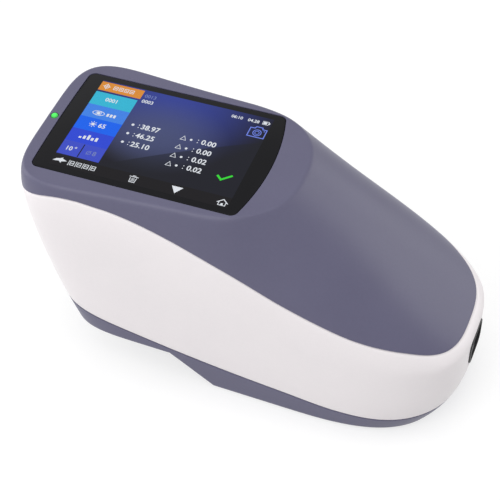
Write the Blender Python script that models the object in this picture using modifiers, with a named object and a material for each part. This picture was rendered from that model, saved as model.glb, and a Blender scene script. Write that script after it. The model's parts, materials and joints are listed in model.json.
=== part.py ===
"""Portable grating spectrophotometer: a boat shaped instrument with a screen on its tall end.

The tall end is at -X and stands over the measuring port, the low rounded nose is at +X.
The near side of the photograph is -Y. Everything is in metres, with +Z up and the table at zero.
"""
import math

import bmesh
import bpy
from mathutils import Matrix, Vector

# Body
HALF_LENGTH = 0.092
HALF_WIDTH = 0.0385
PLATFORM_HEIGHT = 0.1011
PLATFORM_TILT = math.radians(2.1)
WALL = 0.0022
SEAM_GAP = 0.0004
FIT_GAP = 0.0003
OVERRUN = 0.002

# Outline in plan, seen from above
NOSE_ROUND = 0.0595
TAIL_ROUND = 0.0423
NOSE_POWER = 2.875
TAIL_POWER = 4.76

# Lean of the walls towards the table
SIDE_FLARE = 0.0013
SIDE_FLARE_HEIGHT = 0.040
NOSE_FLARE = 0.0093
NOSE_FLARE_HEIGHT = 0.028
TAIL_FLARE = 0.0218
TAIL_FLARE_HEIGHT = 0.0885
FLARE_POWER = 2.0
TAIL_FLARE_POWER = 1.6

# Crown of the top cover
CROWN_POWER = 2.558
CROWN_RISE = 0.0213
CROWN_SOFTNESS = 0.008
SLOPE_FROM_TAIL = 0.1105
SLOPE_ANGLE = math.radians(38.75)
SLOPE_LIFT = 0.0055
TAIL_SHOULDER = 0.0899
MIDDLE_SHOULDER = 0.0481
NOSE_SHOULDER = 0.0415
SOFT_EDGE = 0.0030
CRISP_EDGE = 0.0006
SOFT_EDGE_END = 0.010

# Seams between the three shells, as shares of the platform height from tail to nose
UPPER_SEAM_SHARES = (0.886, 0.941, 0.926, 0.867, 0.778, 0.673, 0.592, 0.528, 0.447)
LOWER_SEAM_SHARES = (0.331, 0.277, 0.231, 0.189, 0.155, 0.130, 0.105, 0.097, 0.135)

# Underside: the foot carries the nose half, the tall end is raised behind a slanted step
FOOT_PROUD = 0.0004
RAISE = 0.0152
STEP_FRONT_FROM_TAIL = 0.0835
STEP_BACK_FROM_TAIL = 0.0649
BOTTOM_EDGE = 0.0016

# Screen
SCREEN_FROM_TAIL = 0.0511
GLASS_LEFT = 0.0446
GLASS_RIGHT = 0.0455
GLASS_HALF_HEIGHT = 0.0277
GLASS_RIGHT_BULGE = 0.0043
GLASS_LEFT_BULGE = 0.0006
GLASS_CORNER = 0.0028
GLASS_THICKNESS = 0.0011
GLASS_RECESS = 0.0001
GLASS_EDGE = 0.0002
WINDOW_LENGTH = 0.0764
WINDOW_WIDTH = 0.0514
MODULE_LENGTH = 0.0790
MODULE_WIDTH = 0.0526
MODULE_THICKNESS = 0.0034
BRACKET_LENGTH = 0.0902
BRACKET_WIDTH = 0.0540
BRACKET_THICKNESS = 0.0012
BRACKET_WINDOW_LENGTH = 0.0480
BRACKET_WINDOW_WIDTH = 0.0320
BRACKET_CORNER = 0.0030
COVER_POST_RADIUS = 0.0024
BRACKET_EAR = 0.0046
SPACER_RADIUS = 0.0020
SPACER_LENGTH = 0.0030
SPACER_INSET = 0.0040
PIN_RADIUS = 0.0008
BOARD_THICKNESS = 0.0016
MAIN_BOARD_LENGTH = 0.0760
MAIN_BOARD_WIDTH = 0.0500
CHIP_HEIGHT = 0.0014
CHIP_SIDE = 0.0110
MEMORY_LENGTH = 0.0130
MEMORY_WIDTH = 0.0080
CONNECTOR_LENGTH = 0.0160
CONNECTOR_WIDTH = 0.0040
BUZZER_RADIUS = 0.0045
BUZZER_HEIGHT = 0.0030
BUZZER_HOLE = 0.0012
RADIO_LENGTH = 0.0150
RADIO_WIDTH = 0.0110
RADIO_THICKNESS = 0.0020
RADIO_INSET = 0.0090
RADIO_SPREAD = 0.0125

# Indicator light on the strip between the glass and the tall end
LIGHT_FROM_TAIL = 0.0038
LIGHT_RADIUS = 0.0014
LIGHT_PROUD = 0.0004
LIGHT_LENGTH = 0.0045

# Integrating sphere over the measuring port
SPHERE_FROM_TAIL = 0.0410
SPHERE_HEIGHT = 0.0310
SPHERE_RADIUS = 0.0200
SPHERE_WALL = 0.0020
SPHERE_FLANGE_RADIUS = 0.0242
SPHERE_FLANGE_THICKNESS = 0.0020
SAMPLE_PORT_RADIUS = 0.0070
VIEW_ANGLE = math.radians(8.0)
VIEW_PORT_RADIUS = 0.0035
NECK_WALL = 0.0018
NECK_LENGTH = 0.0030
BOSS_WALL = 0.0023
LAMP_BOSS_LENGTH = 0.0012
CAMERA_BOSS_LENGTH = 0.0020
EAR_RADIUS = 0.0032
EAR_REACH = 0.0023
HANGER_RADIUS = 0.0026
LAMP_ANGLE = math.radians(66.0)
LAMP_PORT_RADIUS = 0.0040
CAMERA_ANGLE = math.radians(52.0)
CAMERA_PORT_RADIUS = 0.0022

# Measuring nose and its exchangeable aperture
NOSE_CONE_BOTTOM = 0.0130
NOSE_CONE_TOP = 0.0194
NOSE_CONE_EDGE = 0.0008
NOSE_FLANGE_RADIUS = 0.0222
NOSE_FLANGE_THICKNESS = 0.0020
NOSE_FLANGE_HEIGHT = 0.0182
COLLAR_GAP = 0.0006
APERTURE_RADIUS = 0.0040
APERTURE_RING_RADIUS = 0.0095
APERTURE_RING_THICKNESS = 0.0022
APERTURE_RECESS = 0.0003
APERTURE_FLARE = 0.0015
RING_EDGE = 0.0004
RECESS_RADIUS = 0.0098
RECESS_TOP = 0.0028
LIP_HEIGHT = 0.0012
GROOVE_RADIUS = 0.0111
LUG_REACH = 0.0012
LUG_WIDTH = 0.0030
UNLOCK_ANGLE = math.radians(40.0)
GRIP_RADIUS = 0.0012

# Chassis that carries the sphere and the optical bench
CHASSIS_HEIGHT = 0.0625
CHASSIS_THICKNESS = 0.0022
CHASSIS_LENGTH = 0.0900
CHASSIS_WIDTH = 0.0610
CHASSIS_FROM_TAIL = 0.0640
CHASSIS_CORNER = 0.0060
CHASSIS_HOLE = 0.0085
LEG_RADIUS = 0.0034
LEG_SPREAD = 0.0250
TAIL_LEG_FROM_TAIL = 0.0265
NOSE_LEG_FROM_TAIL = 0.0960
LEG_NOSE_SPREAD = 0.0268
LEG_PILOT_DEPTH = 0.0060
LEG_BOSS_RADIUS = 0.0044
LEG_BOSS_HEIGHT = 0.0040
SCREW_RADIUS = 0.0014
SCREW_HEAD_RADIUS = 0.0027
SCREW_HEAD_HEIGHT = 0.0016
SCREW_HEAD_DEPTH = 0.0006
SCREW_LENGTH = 0.0090
SCREW_GAP = 0.00015
BRACKET_SCREW_RADIUS = 0.0010
BRACKET_SCREW_HEAD = 0.0019
BRACKET_SCREW_HEAD_HEIGHT = 0.0011
BRACKET_SCREW_LENGTH = 0.0030

# Optical bench with the concave grating
BENCH_FROM_TAIL = 0.0670
BENCH_LENGTH = 0.0760
BENCH_WIDTH = 0.0500
BENCH_HEIGHT = 0.0166
BENCH_WALL = 0.0022
BENCH_CORNER = 0.0050
BENCH_COVER_THICKNESS = 0.0014
BENCH_COVER_LIP = 0.0012
ENTRY_RADIUS = 0.0045
BARREL_RADIUS = 0.0062
BARREL_BORE = 0.0042
BARREL_TOP = 0.0330
BARREL_LIFT = 0.0004
LENS_RADIUS = 0.0039
LENS_EDGE = 0.0010
LENS_CROWN = 0.0008
LENS_SEAT = 0.0010
MIRROR_SIDE = 0.0090
MIRROR_THICKNESS = 0.0020
MIRROR_SHIFT = 0.0012
BEAM_FROM_TAIL = 0.0457
BEAM_RISE = 0.0068
SLIT_LENGTH = 0.0012
SLIT_SIDE = 0.0100
SLIT_OPENING = 0.0030
SLIT_WIDTH = 0.0005
SLIT_FROM_TAIL = 0.0540
GRATING_FROM_TAIL = 0.0958
GRATING_SIDE = 0.0100
GRATING_THICKNESS = 0.0040
GRATING_CURVE = 0.0420
MOUNT_WALL = 0.0020
DETECTOR_LENGTH = 0.0160
DETECTOR_HEIGHT = 0.0060
DETECTOR_DEPTH = 0.0022
DETECTOR_BOARD_LENGTH = 0.0200
DETECTOR_X = 0.0080
DETECTOR_Y = 0.0115
DETECTOR_BOARD_HEIGHT = 0.0110

# Lamp board and finder camera on the sphere
LAMP_BOARD_SIDE = 0.0140
LAMP_DOME_RADIUS = 0.0024
CAMERA_BODY = 0.0080
CAMERA_DEPTH = 0.0050
CAMERA_BARREL_RADIUS = 0.0028
CAMERA_BARREL_LENGTH = 0.0025

# Battery in the foot
BATTERY_LENGTH = 0.0560
BATTERY_WIDTH = 0.0370
BATTERY_HEIGHT = 0.0186
BAY_FROM_NOSE = 0.0500
BAY_CLEARANCE = 0.0007
BAY_END_ROOM = 0.0040
BAY_WALL = 0.0015
LEDGE_THICKNESS = 0.0022
DOOR_THICKNESS = 0.0020
DOOR_HALF_WIDTH = 0.0215
DOOR_FROM_NOSE = 0.0165
DOOR_TRAVEL = 0.0060
HOOK_LENGTH = 0.0040
HOOK_THICKNESS = 0.0016
HOOK_LIP = 0.0014
HOOK_INSET = 0.0022
HOOK_HEIGHT = 0.0012
HOOK_FROM_STEP = 0.0111
LEDGE_FROM_TAIL = 0.0821
LEDGE_FROM_NOSE = 0.0155
LEDGE_HALF_WIDTH = 0.0226
TAB_WIDTH = 0.0160
TAB_LENGTH = 0.0036
TAB_THICKNESS = 0.0010
DOOR_GRIP_WIDTH = 0.0160
DOOR_GRIP_BAR = 0.0009
DOOR_GRIP_PITCH = 0.0022
DOOR_GRIP_DEPTH = 0.0005
DOOR_GRIP_COUNT = 4
CONTACT_THICKNESS = 0.0024
CONTACT_WIDTH = 0.0240
CONTACT_HEIGHT = 0.0100
FINGER_WIDTH = 0.0025
FINGER_HEIGHT = 0.0060
FINGER_REACH = 0.0011
FINGER_SPREAD = 0.0060

# Rubber feet
PAD_RADIUS = 0.0042
PAD_THICKNESS = 0.0010
PAD_RECESS = 0.0010
TAIL_PAD_FROM_TAIL = 0.1045
NOSE_PAD_FROM_NOSE = 0.0360
PAD_SPREAD = 0.0285
PAD_EDGE = 0.0003
PAD_NOSE_SPREAD = 0.0270

# Connector panel in the nose
PANEL_WIDTH = 0.0164
PANEL_HEIGHT = 0.0150
PANEL_Z = 0.0335
PANEL_CORNER = 0.0042
PANEL_PROUD = 0.0003
PANEL_RIM = 0.0012
PANEL_SUNK = 0.0012
PANEL_DEPTH = 0.0030
PANEL_FLOOR = 0.0012
PANEL_CURVE = 0.0009
SLIDER_THICKNESS = 0.0008
SLIDER_WIDTH = 0.0090
SOCKET_WIDTH = 0.0080
SOCKET_HEIGHT = 0.0040
SOCKET_DEPTH = 0.0090
SOCKET_WALL = 0.0004
TONGUE_HEIGHT = 0.0010
SOCKET_RISE = 0.0031
SWITCH_DROP = 0.0028
SWITCH_SLOT_WIDTH = 0.0080
SWITCH_SLOT_HEIGHT = 0.0030
SWITCH_KNOB_WIDTH = 0.0036
SWITCH_KNOB_HEIGHT = 0.0024
SWITCH_TRAVEL = 0.0034
SWITCH_REACH = 0.0006
SWITCH_BODY_WIDTH = 0.0120
SWITCH_BODY_HEIGHT = 0.0042
PANEL_FLANGE = 0.0014
PANEL_FLANGE_DROP = 0.0016
PANEL_FLANGE_THICKNESS = 0.0012
PORT_BOARD_WIDTH = 0.0200
PORT_BOARD_LENGTH = 0.0170
PORT_BOARD_THICKNESS = 0.0012

# Measuring key on the far side
KEY_FROM_NOSE = 0.0650
KEY_Z = 0.0400
KEY_LENGTH = 0.0200
KEY_HEIGHT = 0.0090
KEY_PROUD = 0.0008
KEY_FLANGE = 0.0011
KEY_FLANGE_THICKNESS = 0.0009
KEY_GAP = 0.00035
KEY_TRAVEL = 0.0006
KEY_STEM_RADIUS = 0.0017
KEY_STEM_LENGTH = 0.0008
KEY_PLAY = 0.0001
KEY_BOARD_LENGTH = 0.0360
KEY_BOARD_HEIGHT = 0.0110
KEY_BOARD_THICKNESS = 0.0012
KEY_SWITCH_SIDE = 0.0060
KEY_SWITCH_HEIGHT = 0.0030
KEY_POST_RADIUS = 0.0020
KEY_POST_SPREAD = 0.0155

# Flat cables
CABLE_WIDTH = 0.0120
CABLE_THICKNESS = 0.0004

# Fineness of the meshes
TAIL_STEPS = 7
SIDE_STEPS = 8
NOSE_STEPS = 14
COVER_RINGS = 9
SHELL_RINGS = 6
BASE_RINGS = 3
ROUND_STEPS = 24
SMALL_ROUND_STEPS = 12
SCREW_STEPS = 10
BALL_STEPS = 7
MERGE_DISTANCE = 0.00001
SMOOTH_ANGLE = math.radians(32.0)
EDGE_ANGLE = math.radians(50.0)

# Turns that stand an outline upright: drawn in X and Z, or in Y and Z
UPRIGHT = (math.pi / 2, 0.0, 0.0)
ACROSS = (math.pi / 2, 0.0, math.pi / 2)

# Heights and places that follow from the sizes above
SCREEN_X = SCREEN_FROM_TAIL - HALF_LENGTH
SLOPE_START = SLOPE_FROM_TAIL - HALF_LENGTH
STEP_FRONT = STEP_FRONT_FROM_TAIL - HALF_LENGTH
STEP_BACK = STEP_BACK_FROM_TAIL - HALF_LENGTH
LIGHT_X = LIGHT_FROM_TAIL - HALF_LENGTH
SPHERE_X = SPHERE_FROM_TAIL - HALF_LENGTH
CHASSIS_X = CHASSIS_FROM_TAIL - HALF_LENGTH
LEG_TAIL_X = TAIL_LEG_FROM_TAIL - HALF_LENGTH
LEG_NOSE_X = NOSE_LEG_FROM_TAIL - HALF_LENGTH
BENCH_X = BENCH_FROM_TAIL - HALF_LENGTH
BEAM_X = BEAM_FROM_TAIL - HALF_LENGTH
SLIT_X = SLIT_FROM_TAIL - HALF_LENGTH
GRATING_X = GRATING_FROM_TAIL - HALF_LENGTH
LEDGE_TAIL = LEDGE_FROM_TAIL - HALF_LENGTH
PAD_TAIL_X = TAIL_PAD_FROM_TAIL - HALF_LENGTH
BAY_X = HALF_LENGTH - BAY_FROM_NOSE
DOOR_END = HALF_LENGTH - DOOR_FROM_NOSE
LEDGE_NOSE = HALF_LENGTH - LEDGE_FROM_NOSE
PAD_NOSE_X = HALF_LENGTH - NOSE_PAD_FROM_NOSE
KEY_X = HALF_LENGTH - KEY_FROM_NOSE
HOOK_PLACES = (STEP_FRONT + HOOK_FROM_STEP,)
SPACER_X = MAIN_BOARD_LENGTH / 2 - SPACER_INSET
SPACER_Y = MAIN_BOARD_WIDTH / 2 - SPACER_INSET
RADIO_X = RADIO_INSET - MAIN_BOARD_LENGTH / 2
RADIO_Y = MAIN_BOARD_WIDTH / 2 - RADIO_SPREAD
CHANNEL_TOP = FOOT_PROUD + WALL
LEDGE_TOP = CHANNEL_TOP + LEDGE_THICKNESS
DOOR_TOP = FOOT_PROUD + DOOR_THICKNESS
DOOR_TAIL = STEP_FRONT - DOOR_THICKNESS * (STEP_FRONT - STEP_BACK) / RAISE
BATTERY_BOTTOM = DOOR_TOP + FIT_GAP
BAY_HALF_WIDTH = BATTERY_WIDTH / 2 + BAY_CLEARANCE
BAY_TOP = BATTERY_BOTTOM + BATTERY_HEIGHT + BAY_CLEARANCE
BAY_TAIL = BAY_X - BATTERY_LENGTH / 2 - BAY_CLEARANCE
BAY_NOSE = BAY_X + BATTERY_LENGTH / 2 + BAY_CLEARANCE + BAY_END_ROOM
KEY_STEM_END = HALF_WIDTH - WALL - FIT_GAP - KEY_FLANGE_THICKNESS - KEY_STEM_LENGTH
KEY_BOARD_TOP = KEY_STEM_END - KEY_TRAVEL - KEY_PLAY - KEY_SWITCH_HEIGHT

# Places of chips on the main board, as shares of its sides, with their lengths and widths
CHIP_TABLE = (
    (0.05, 0.10, CHIP_SIDE, CHIP_SIDE),
    (0.27, 0.12, MEMORY_LENGTH, MEMORY_WIDTH),
    (0.10, -0.30, MEMORY_LENGTH, MEMORY_WIDTH),
    (0.43, -0.08, CONNECTOR_WIDTH, CONNECTOR_LENGTH),
    (-0.14, 0.30, CHIP_SIDE / 2, CHIP_SIDE / 2),
    (-0.10, -0.05, CHIP_SIDE / 2, MEMORY_WIDTH),
)
# Ways of the flat cables, as shares of the screen module length and the room under it
DISPLAY_WAY_SHARES = (
    (0.125, 0.0), (-0.04, 0.0), (-0.065, 0.15), (-0.075, 0.5), (-0.065, 0.85), (-0.04, 1.0), (0.11, 1.0)
)
# As shares of half the body length and of the platform height
INTERFACE_WAY_SHARES = (
    (0.852, 0.370), (0.800, 0.358), (0.650, 0.405), (0.430, 0.470), (0.280, 0.580), (0.222, 0.690), (
        0.208, 0.790
    ),
    (0.165, 0.850), (0.065, 0.872), (-0.060, 0.870)
)
FINGER_PLACES = (-1, 0, 1)
HANGER_ANGLES = [math.radians(angle) for angle in (55.0, 150.0, -150.0, -55.0)]
LIGHT_ANGLES = [math.radians(angle) for angle in (60.0, 30.0, 0.0)]

# Shares of a height: corners of round outlines and body of the key switch; lens rings as shares of its radius
PILL_SHARE = 0.49
BATTERY_ROUND_SHARE = 0.48
KEY_SWITCH_BODY_SHARE = 0.7
LENS_SHARES = (0.0, 0.5, 0.8)

# Materials: colour, roughness, metallic
FINISHES = {
    "dark_shell": ((0.125, 0.118, 0.185), 0.38, 0.0),
    "white_shell": ((0.80, 0.78, 0.78), 0.35, 0.0),
    "black_glass": ((0.012, 0.012, 0.016), 0.06, 0.0),
    "black_plastic": ((0.02, 0.02, 0.022), 0.45, 0.0),
    "green_lens": ((0.05, 0.62, 0.08), 0.20, 0.0),
    "circuit_board": ((0.02, 0.16, 0.07), 0.45, 0.0),
    "aluminium": ((0.72, 0.73, 0.75), 0.35, 1.0),
    "steel": ((0.60, 0.60, 0.62), 0.30, 1.0),
    "sphere_white": ((0.90, 0.90, 0.89), 0.80, 0.0),
    "rubber": ((0.03, 0.03, 0.03), 0.85, 0.0),
    "battery_wrap": ((0.04, 0.16, 0.42), 0.40, 0.0),
    "optical_glass": ((0.85, 0.90, 0.92), 0.03, 0.0),
    "grating_gold": ((0.85, 0.78, 0.55), 0.15, 1.0),
    "flat_cable": ((0.80, 0.50, 0.20), 0.45, 0.0),
}

for old in list(bpy.data.objects):
    bpy.data.objects.remove(old, do_unlink=True)

PARTS = bpy.data.collections.new("grating_spectrophotometer")
CUTTERS = bpy.data.collections.new("cutters")
for group in (PARTS, CUTTERS):
    bpy.context.scene.collection.children.link(group)


# Helpers that make, cut and finish pieces
def material(finish):
    """one Principled material for each finish"""
    if finish in bpy.data.materials:
        return bpy.data.materials[finish]
    colour, roughness, metallic = FINISHES[finish]
    made = bpy.data.materials.new(finish)
    made.use_nodes = True
    shader = made.node_tree.nodes["Principled BSDF"]
    shader.inputs["Base Color"].default_value = (*colour, 1.0)
    shader.inputs["Roughness"].default_value = roughness
    shader.inputs["Metallic"].default_value = metallic
    return made


def add_object(name, mesh, finish=None, parent=None):
    """links a mesh as a part, or as a hidden cutter when it has no finish"""
    made = bpy.data.objects.new(name, mesh)
    if finish:
        PARTS.objects.link(made)
        mesh.materials.clear()
        mesh.materials.append(material(finish))
    else:
        CUTTERS.objects.link(made)
        made.hide_render = True
        made.display_type = "WIRE"
    made.parent = parent
    return made


def to_mesh(name, shape):
    """turns a bmesh into a mesh"""
    mesh = bpy.data.meshes.new(name)
    shape.to_mesh(mesh)
    shape.free()
    return mesh


def block(name, size, place, finish=None, parent=None, bevel=0.0, turn=(0.0, 0.0, 0.0)):
    """a box with its middle at the place, its edges rounded by the bevel"""
    shape = bmesh.new()
    bmesh.ops.create_cube(shape, size=1.0, matrix=Matrix.Diagonal((*size, 1.0)))
    if bevel:
        bmesh.ops.bevel(
            shape, geom=list(shape.edges), offset=bevel, segments=2, profile=0.5, affect="EDGES", material=-1
        )
    made = add_object(name, to_mesh(name, shape), finish, parent)
    made.location = place
    made.rotation_euler = turn
    return made


def box(name, low, high, finish=None, parent=None, bevel=0.0):
    """a block between two opposite corners"""
    size = [end - start for start, end in zip(low, high)]
    place = [(start + end) / 2 for start, end in zip(low, high)]
    return block(name, size, place, finish, parent, bevel)


def rod(
    name, radius, length, place, finish=None, parent=None, top=None, turn=(0.0, 0.0, 0.0), steps=ROUND_STEPS
):
    """a cylinder or cone along its own Z axis, with its middle at the place"""
    shape = bmesh.new()
    top_radius = radius if top is None else top
    bmesh.ops.create_cone(
        shape, cap_ends=True, segments=steps, radius1=radius, radius2=top_radius, depth=length
    )
    made = add_object(name, to_mesh(name, shape), finish, parent)
    made.location = place
    made.rotation_euler = turn
    if finish:
        shade(made)
    return made


def plate(name, outline, thickness, place, finish=None, parent=None, turn=(0.0, 0.0, 0.0)):
    """a flat outline with thickness, its lower face at the place"""
    curve = bpy.data.curves.new(name, "CURVE")
    curve.dimensions = "2D"
    curve.fill_mode = "BOTH"
    curve.extrude = thickness / 2
    line = curve.splines.new("POLY")
    line.points.add(len(outline) - 1)
    for point, (x, y) in zip(line.points, outline):
        point.co = (x, y, 0.0, 1.0)
    line.use_cyclic_u = True
    drawn = bpy.data.objects.new(name + "_drawn", curve)
    bpy.context.scene.collection.objects.link(drawn)
    bpy.context.view_layer.update()
    mesh = bpy.data.meshes.new_from_object(drawn.evaluated_get(bpy.context.evaluated_depsgraph_get()))
    bpy.data.objects.remove(drawn, do_unlink=True)
    shape = bmesh.new()
    shape.from_mesh(mesh)
    bmesh.ops.remove_doubles(shape, verts=shape.verts, dist=MERGE_DISTANCE)
    bmesh.ops.translate(shape, verts=shape.verts, vec=(0.0, 0.0, thickness / 2))
    bmesh.ops.recalc_face_normals(shape, faces=shape.faces)
    shape.to_mesh(mesh)
    shape.free()
    made = add_object(name, mesh, finish, parent)
    made.location = place
    made.rotation_euler = turn
    if finish:
        shade(made)
    return made


def signed_area(outline):
    """twice the area of an outline, above zero when it runs anticlockwise"""
    return sum(
        x * last_y - last_x * y for (x, y), (last_x, last_y) in zip(outline[1:] + outline[:1], outline)
    )


def turned(
    name, profile, place, finish=None, parent=None, turn=(0.0, 0.0, 0.0), steps=ROUND_STEPS, closed=True
):
    """a profile of radius and height turned about Z"""
    mesh = bpy.data.meshes.new(name)
    shape = bmesh.new()
    corners = [shape.verts.new((radius, 0.0, height)) for radius, height in profile]
    for first, second in zip(corners, corners[1:]):
        shape.edges.new((first, second))
    if closed:
        shape.edges.new((corners[-1], corners[0]))
    shape.to_mesh(mesh)
    shape.free()
    made = add_object(name, mesh, finish, parent)
    made.location = place
    made.rotation_euler = turn
    screw = made.modifiers.new("turn", "SCREW")
    screw.steps = steps
    screw.render_steps = steps
    screw.use_merge_vertices = True
    screw.merge_threshold = MERGE_DISTANCE
    screw.use_normal_flip = signed_area(profile) < 0
    screw.use_smooth_shade = True
    return made


def frame(name, place, turn):
    """an empty that carries pieces on a leaning axis"""
    made = bpy.data.objects.new(name, None)
    bpy.context.scene.collection.objects.link(made)
    made.location = place
    made.rotation_euler = turn
    return made


def arc(radius, first, last, steps=BALL_STEPS):
    """profile points on a circle, from one angle over the equator to another"""
    angles = [first + (last - first) * step / steps for step in range(steps + 1)]
    return [(radius * math.cos(angle), radius * math.sin(angle)) for angle in angles]


def soften(made, width):
    """small round edges on everything sharp"""
    step = made.modifiers.new("edges", "BEVEL")
    step.width = width
    step.segments = 2
    step.limit_method = "ANGLE"
    step.angle_limit = EDGE_ANGLE


def shade(made):
    """smooth faces with sharp edges kept"""
    made.data.shade_smooth()
    made.data.set_sharp_from_angle(angle=SMOOTH_ANGLE)


def boolean(made, other, operation):
    """one exact Boolean that stays on the object"""
    step = made.modifiers.new(other.name, "BOOLEAN")
    step.operation = operation
    step.solver = "EXACT"
    step.object = other


def cut(made, *others):
    for other in others:
        boolean(made, other, "DIFFERENCE")


def fuse(made, *others):
    for other in others:
        boolean(made, other, "UNION")


def ribbon(name, way, width, parent=None):
    """a flat cable: its way in X and Z is thickened and drawn out along Y"""
    points = [Vector(point) for point in way]
    sides = []
    for index in range(len(points)):
        along = (points[min(index + 1, len(points) - 1)] - points[max(index - 1, 0)]).normalized()
        sides.append(Vector((-along.y, along.x)) * CABLE_THICKNESS / 2)
    outline = [point + side for point, side in zip(points, sides)]
    outline += [point - side for point, side in zip(reversed(points), reversed(sides))]
    return plate(name, outline, width, (0.0, width / 2, 0.0), "flat_cable", parent, UPRIGHT)


def rounded_rectangle(length, width, corner, steps=4):
    """outline points, anticlockwise, of a rectangle with round corners"""
    points = []
    for number, (side_x, side_y) in enumerate(((1, 1), (-1, 1), (-1, -1), (1, -1))):
        for step in range(steps + 1):
            angle = math.pi / 2 * (number + step / steps)
            x = side_x * (length / 2 - corner) + corner * math.cos(angle)
            y = side_y * (width / 2 - corner) + corner * math.sin(angle)
            points.append((x, y))
    return points


# Shape of the hull
def clamp(value):
    return max(0.0, min(1.0, value))


def soft_minimum(first, second, softness):
    """the lower of two heights, rounded where they meet"""
    overlap = max(softness - abs(first - second), 0.0)
    return min(first, second) - overlap * overlap / (4 * softness)


def table_height(shares, x):
    """a smooth curve through evenly spaced shares of the platform height"""
    last = len(shares) - 1
    place = clamp((x + HALF_LENGTH) / (2 * HALF_LENGTH)) * last
    index = min(int(place), last - 1)
    part = place - index
    before = shares[max(index - 1, 0)]
    start = shares[index]
    end = shares[index + 1]
    after = shares[min(index + 2, last)]
    start_slope = (end - before) / 2
    end_slope = (after - start) / 2
    share = (
        (2 * part**3 - 3 * part**2 + 1) * start
        + (part**3 - 2 * part**2 + part) * start_slope
        + (3 * part**2 - 2 * part**3) * end
        + (part**3 - part**2) * end_slope
    )
    return share * PLATFORM_HEIGHT


def walls_at(height, inset=0.0):
    """half width, nose end and tail end of the outline at a height, moved in by an inset"""
    side = clamp(1 - height / SIDE_FLARE_HEIGHT) ** FLARE_POWER
    nose = clamp(1 - height / NOSE_FLARE_HEIGHT) ** FLARE_POWER
    tail = clamp(1 - height / TAIL_FLARE_HEIGHT) ** TAIL_FLARE_POWER
    half_width = HALF_WIDTH - SIDE_FLARE * side - inset
    return half_width, HALF_LENGTH - NOSE_FLARE * nose - inset, TAIL_FLARE * tail - HALF_LENGTH + inset


def outline_point(station, walls, inset=0.0):
    """plan point of a station: 0 to 1 round the tall end, to 2 along the side, to 3 round the nose"""
    half_width, nose, tail = walls
    nose_round = NOSE_ROUND - inset
    tail_round = TAIL_ROUND - inset
    if station <= 1:
        angle = station * math.pi / 2
        x = tail + tail_round * (1 - max(math.cos(angle), 0.0) ** (2 / TAIL_POWER))
        y = half_width * math.sin(angle) ** (2 / TAIL_POWER)
    elif station <= 2:
        start = tail + tail_round
        x = start + (nose - nose_round - start) * (station - 1)
        y = half_width
    else:
        angle = (station - 2) * math.pi / 2
        x = nose - nose_round + nose_round * math.sin(angle) ** (2 / NOSE_POWER)
        y = half_width * max(math.cos(angle), 0.0) ** (2 / NOSE_POWER)
    return x, y


def plane_height(x):
    return PLATFORM_HEIGHT + math.tan(PLATFORM_TILT) * (x - SCREEN_X)


def shoulder_height(x):
    """height where the upright wall starts to curve in"""
    place = x / HALF_LENGTH
    bend = (TAIL_SHOULDER + NOSE_SHOULDER) / 2 - MIDDLE_SHOULDER
    return MIDDLE_SHOULDER + (NOSE_SHOULDER - TAIL_SHOULDER) / 2 * place + bend * place * place


def spine_height(x, inset):
    """height of the crown along the middle of the cover"""
    run = x - SLOPE_START
    lift = SLOPE_LIFT * (max(run, 0.0) / (HALF_LENGTH - SLOPE_START)) ** 2
    slope = plane_height(SLOPE_START) - math.tan(SLOPE_ANGLE) * run + lift - inset / math.cos(SLOPE_ANGLE)
    return soft_minimum(slope, plane_height(x) + CROWN_RISE - inset, CROWN_SOFTNESS)


def crown_height(x, y, inset):
    """height of the crowned cover before the screen platform is cut into it"""
    nose_run = max(x - (HALF_LENGTH - NOSE_ROUND), 0.0) / (NOSE_ROUND - inset)
    tail_run = max((TAIL_ROUND - HALF_LENGTH) - x, 0.0) / (TAIL_ROUND - inset)
    power = NOSE_POWER if nose_run > 0 else TAIL_POWER
    gauge = ((nose_run + tail_run) ** power + (abs(y) / (HALF_WIDTH - inset)) ** power) ** (1 / power)
    base = shoulder_height(x)
    rise = max(spine_height(x, inset) - base, 0.0)
    return base + rise * max(1 - gauge**CROWN_POWER, 0.0) ** (1 / CROWN_POWER)


def edge_softness(x):
    """the shoulder is softly rounded, the edge over the slope is crisp"""
    part = clamp((SOFT_EDGE_END - x) / (2 * SOFT_EDGE_END))
    return CRISP_EDGE + (SOFT_EDGE - CRISP_EDGE) * part * part * (3 - 2 * part)


def top_height(x, y, inset):
    return soft_minimum(plane_height(x) - inset, crown_height(x, y, inset), edge_softness(x))


def underside_height(x):
    return FOOT_PROUD + RAISE * clamp((STEP_FRONT - x) / (STEP_FRONT - STEP_BACK))


def halving(low, high, is_past, rounds=40):
    """the place between low and high where a test turns true"""
    for _ in range(rounds):
        middle = (low + high) / 2
        if is_past(middle):
            high = middle
        else:
            low = middle
    return (low + high) / 2


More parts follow.
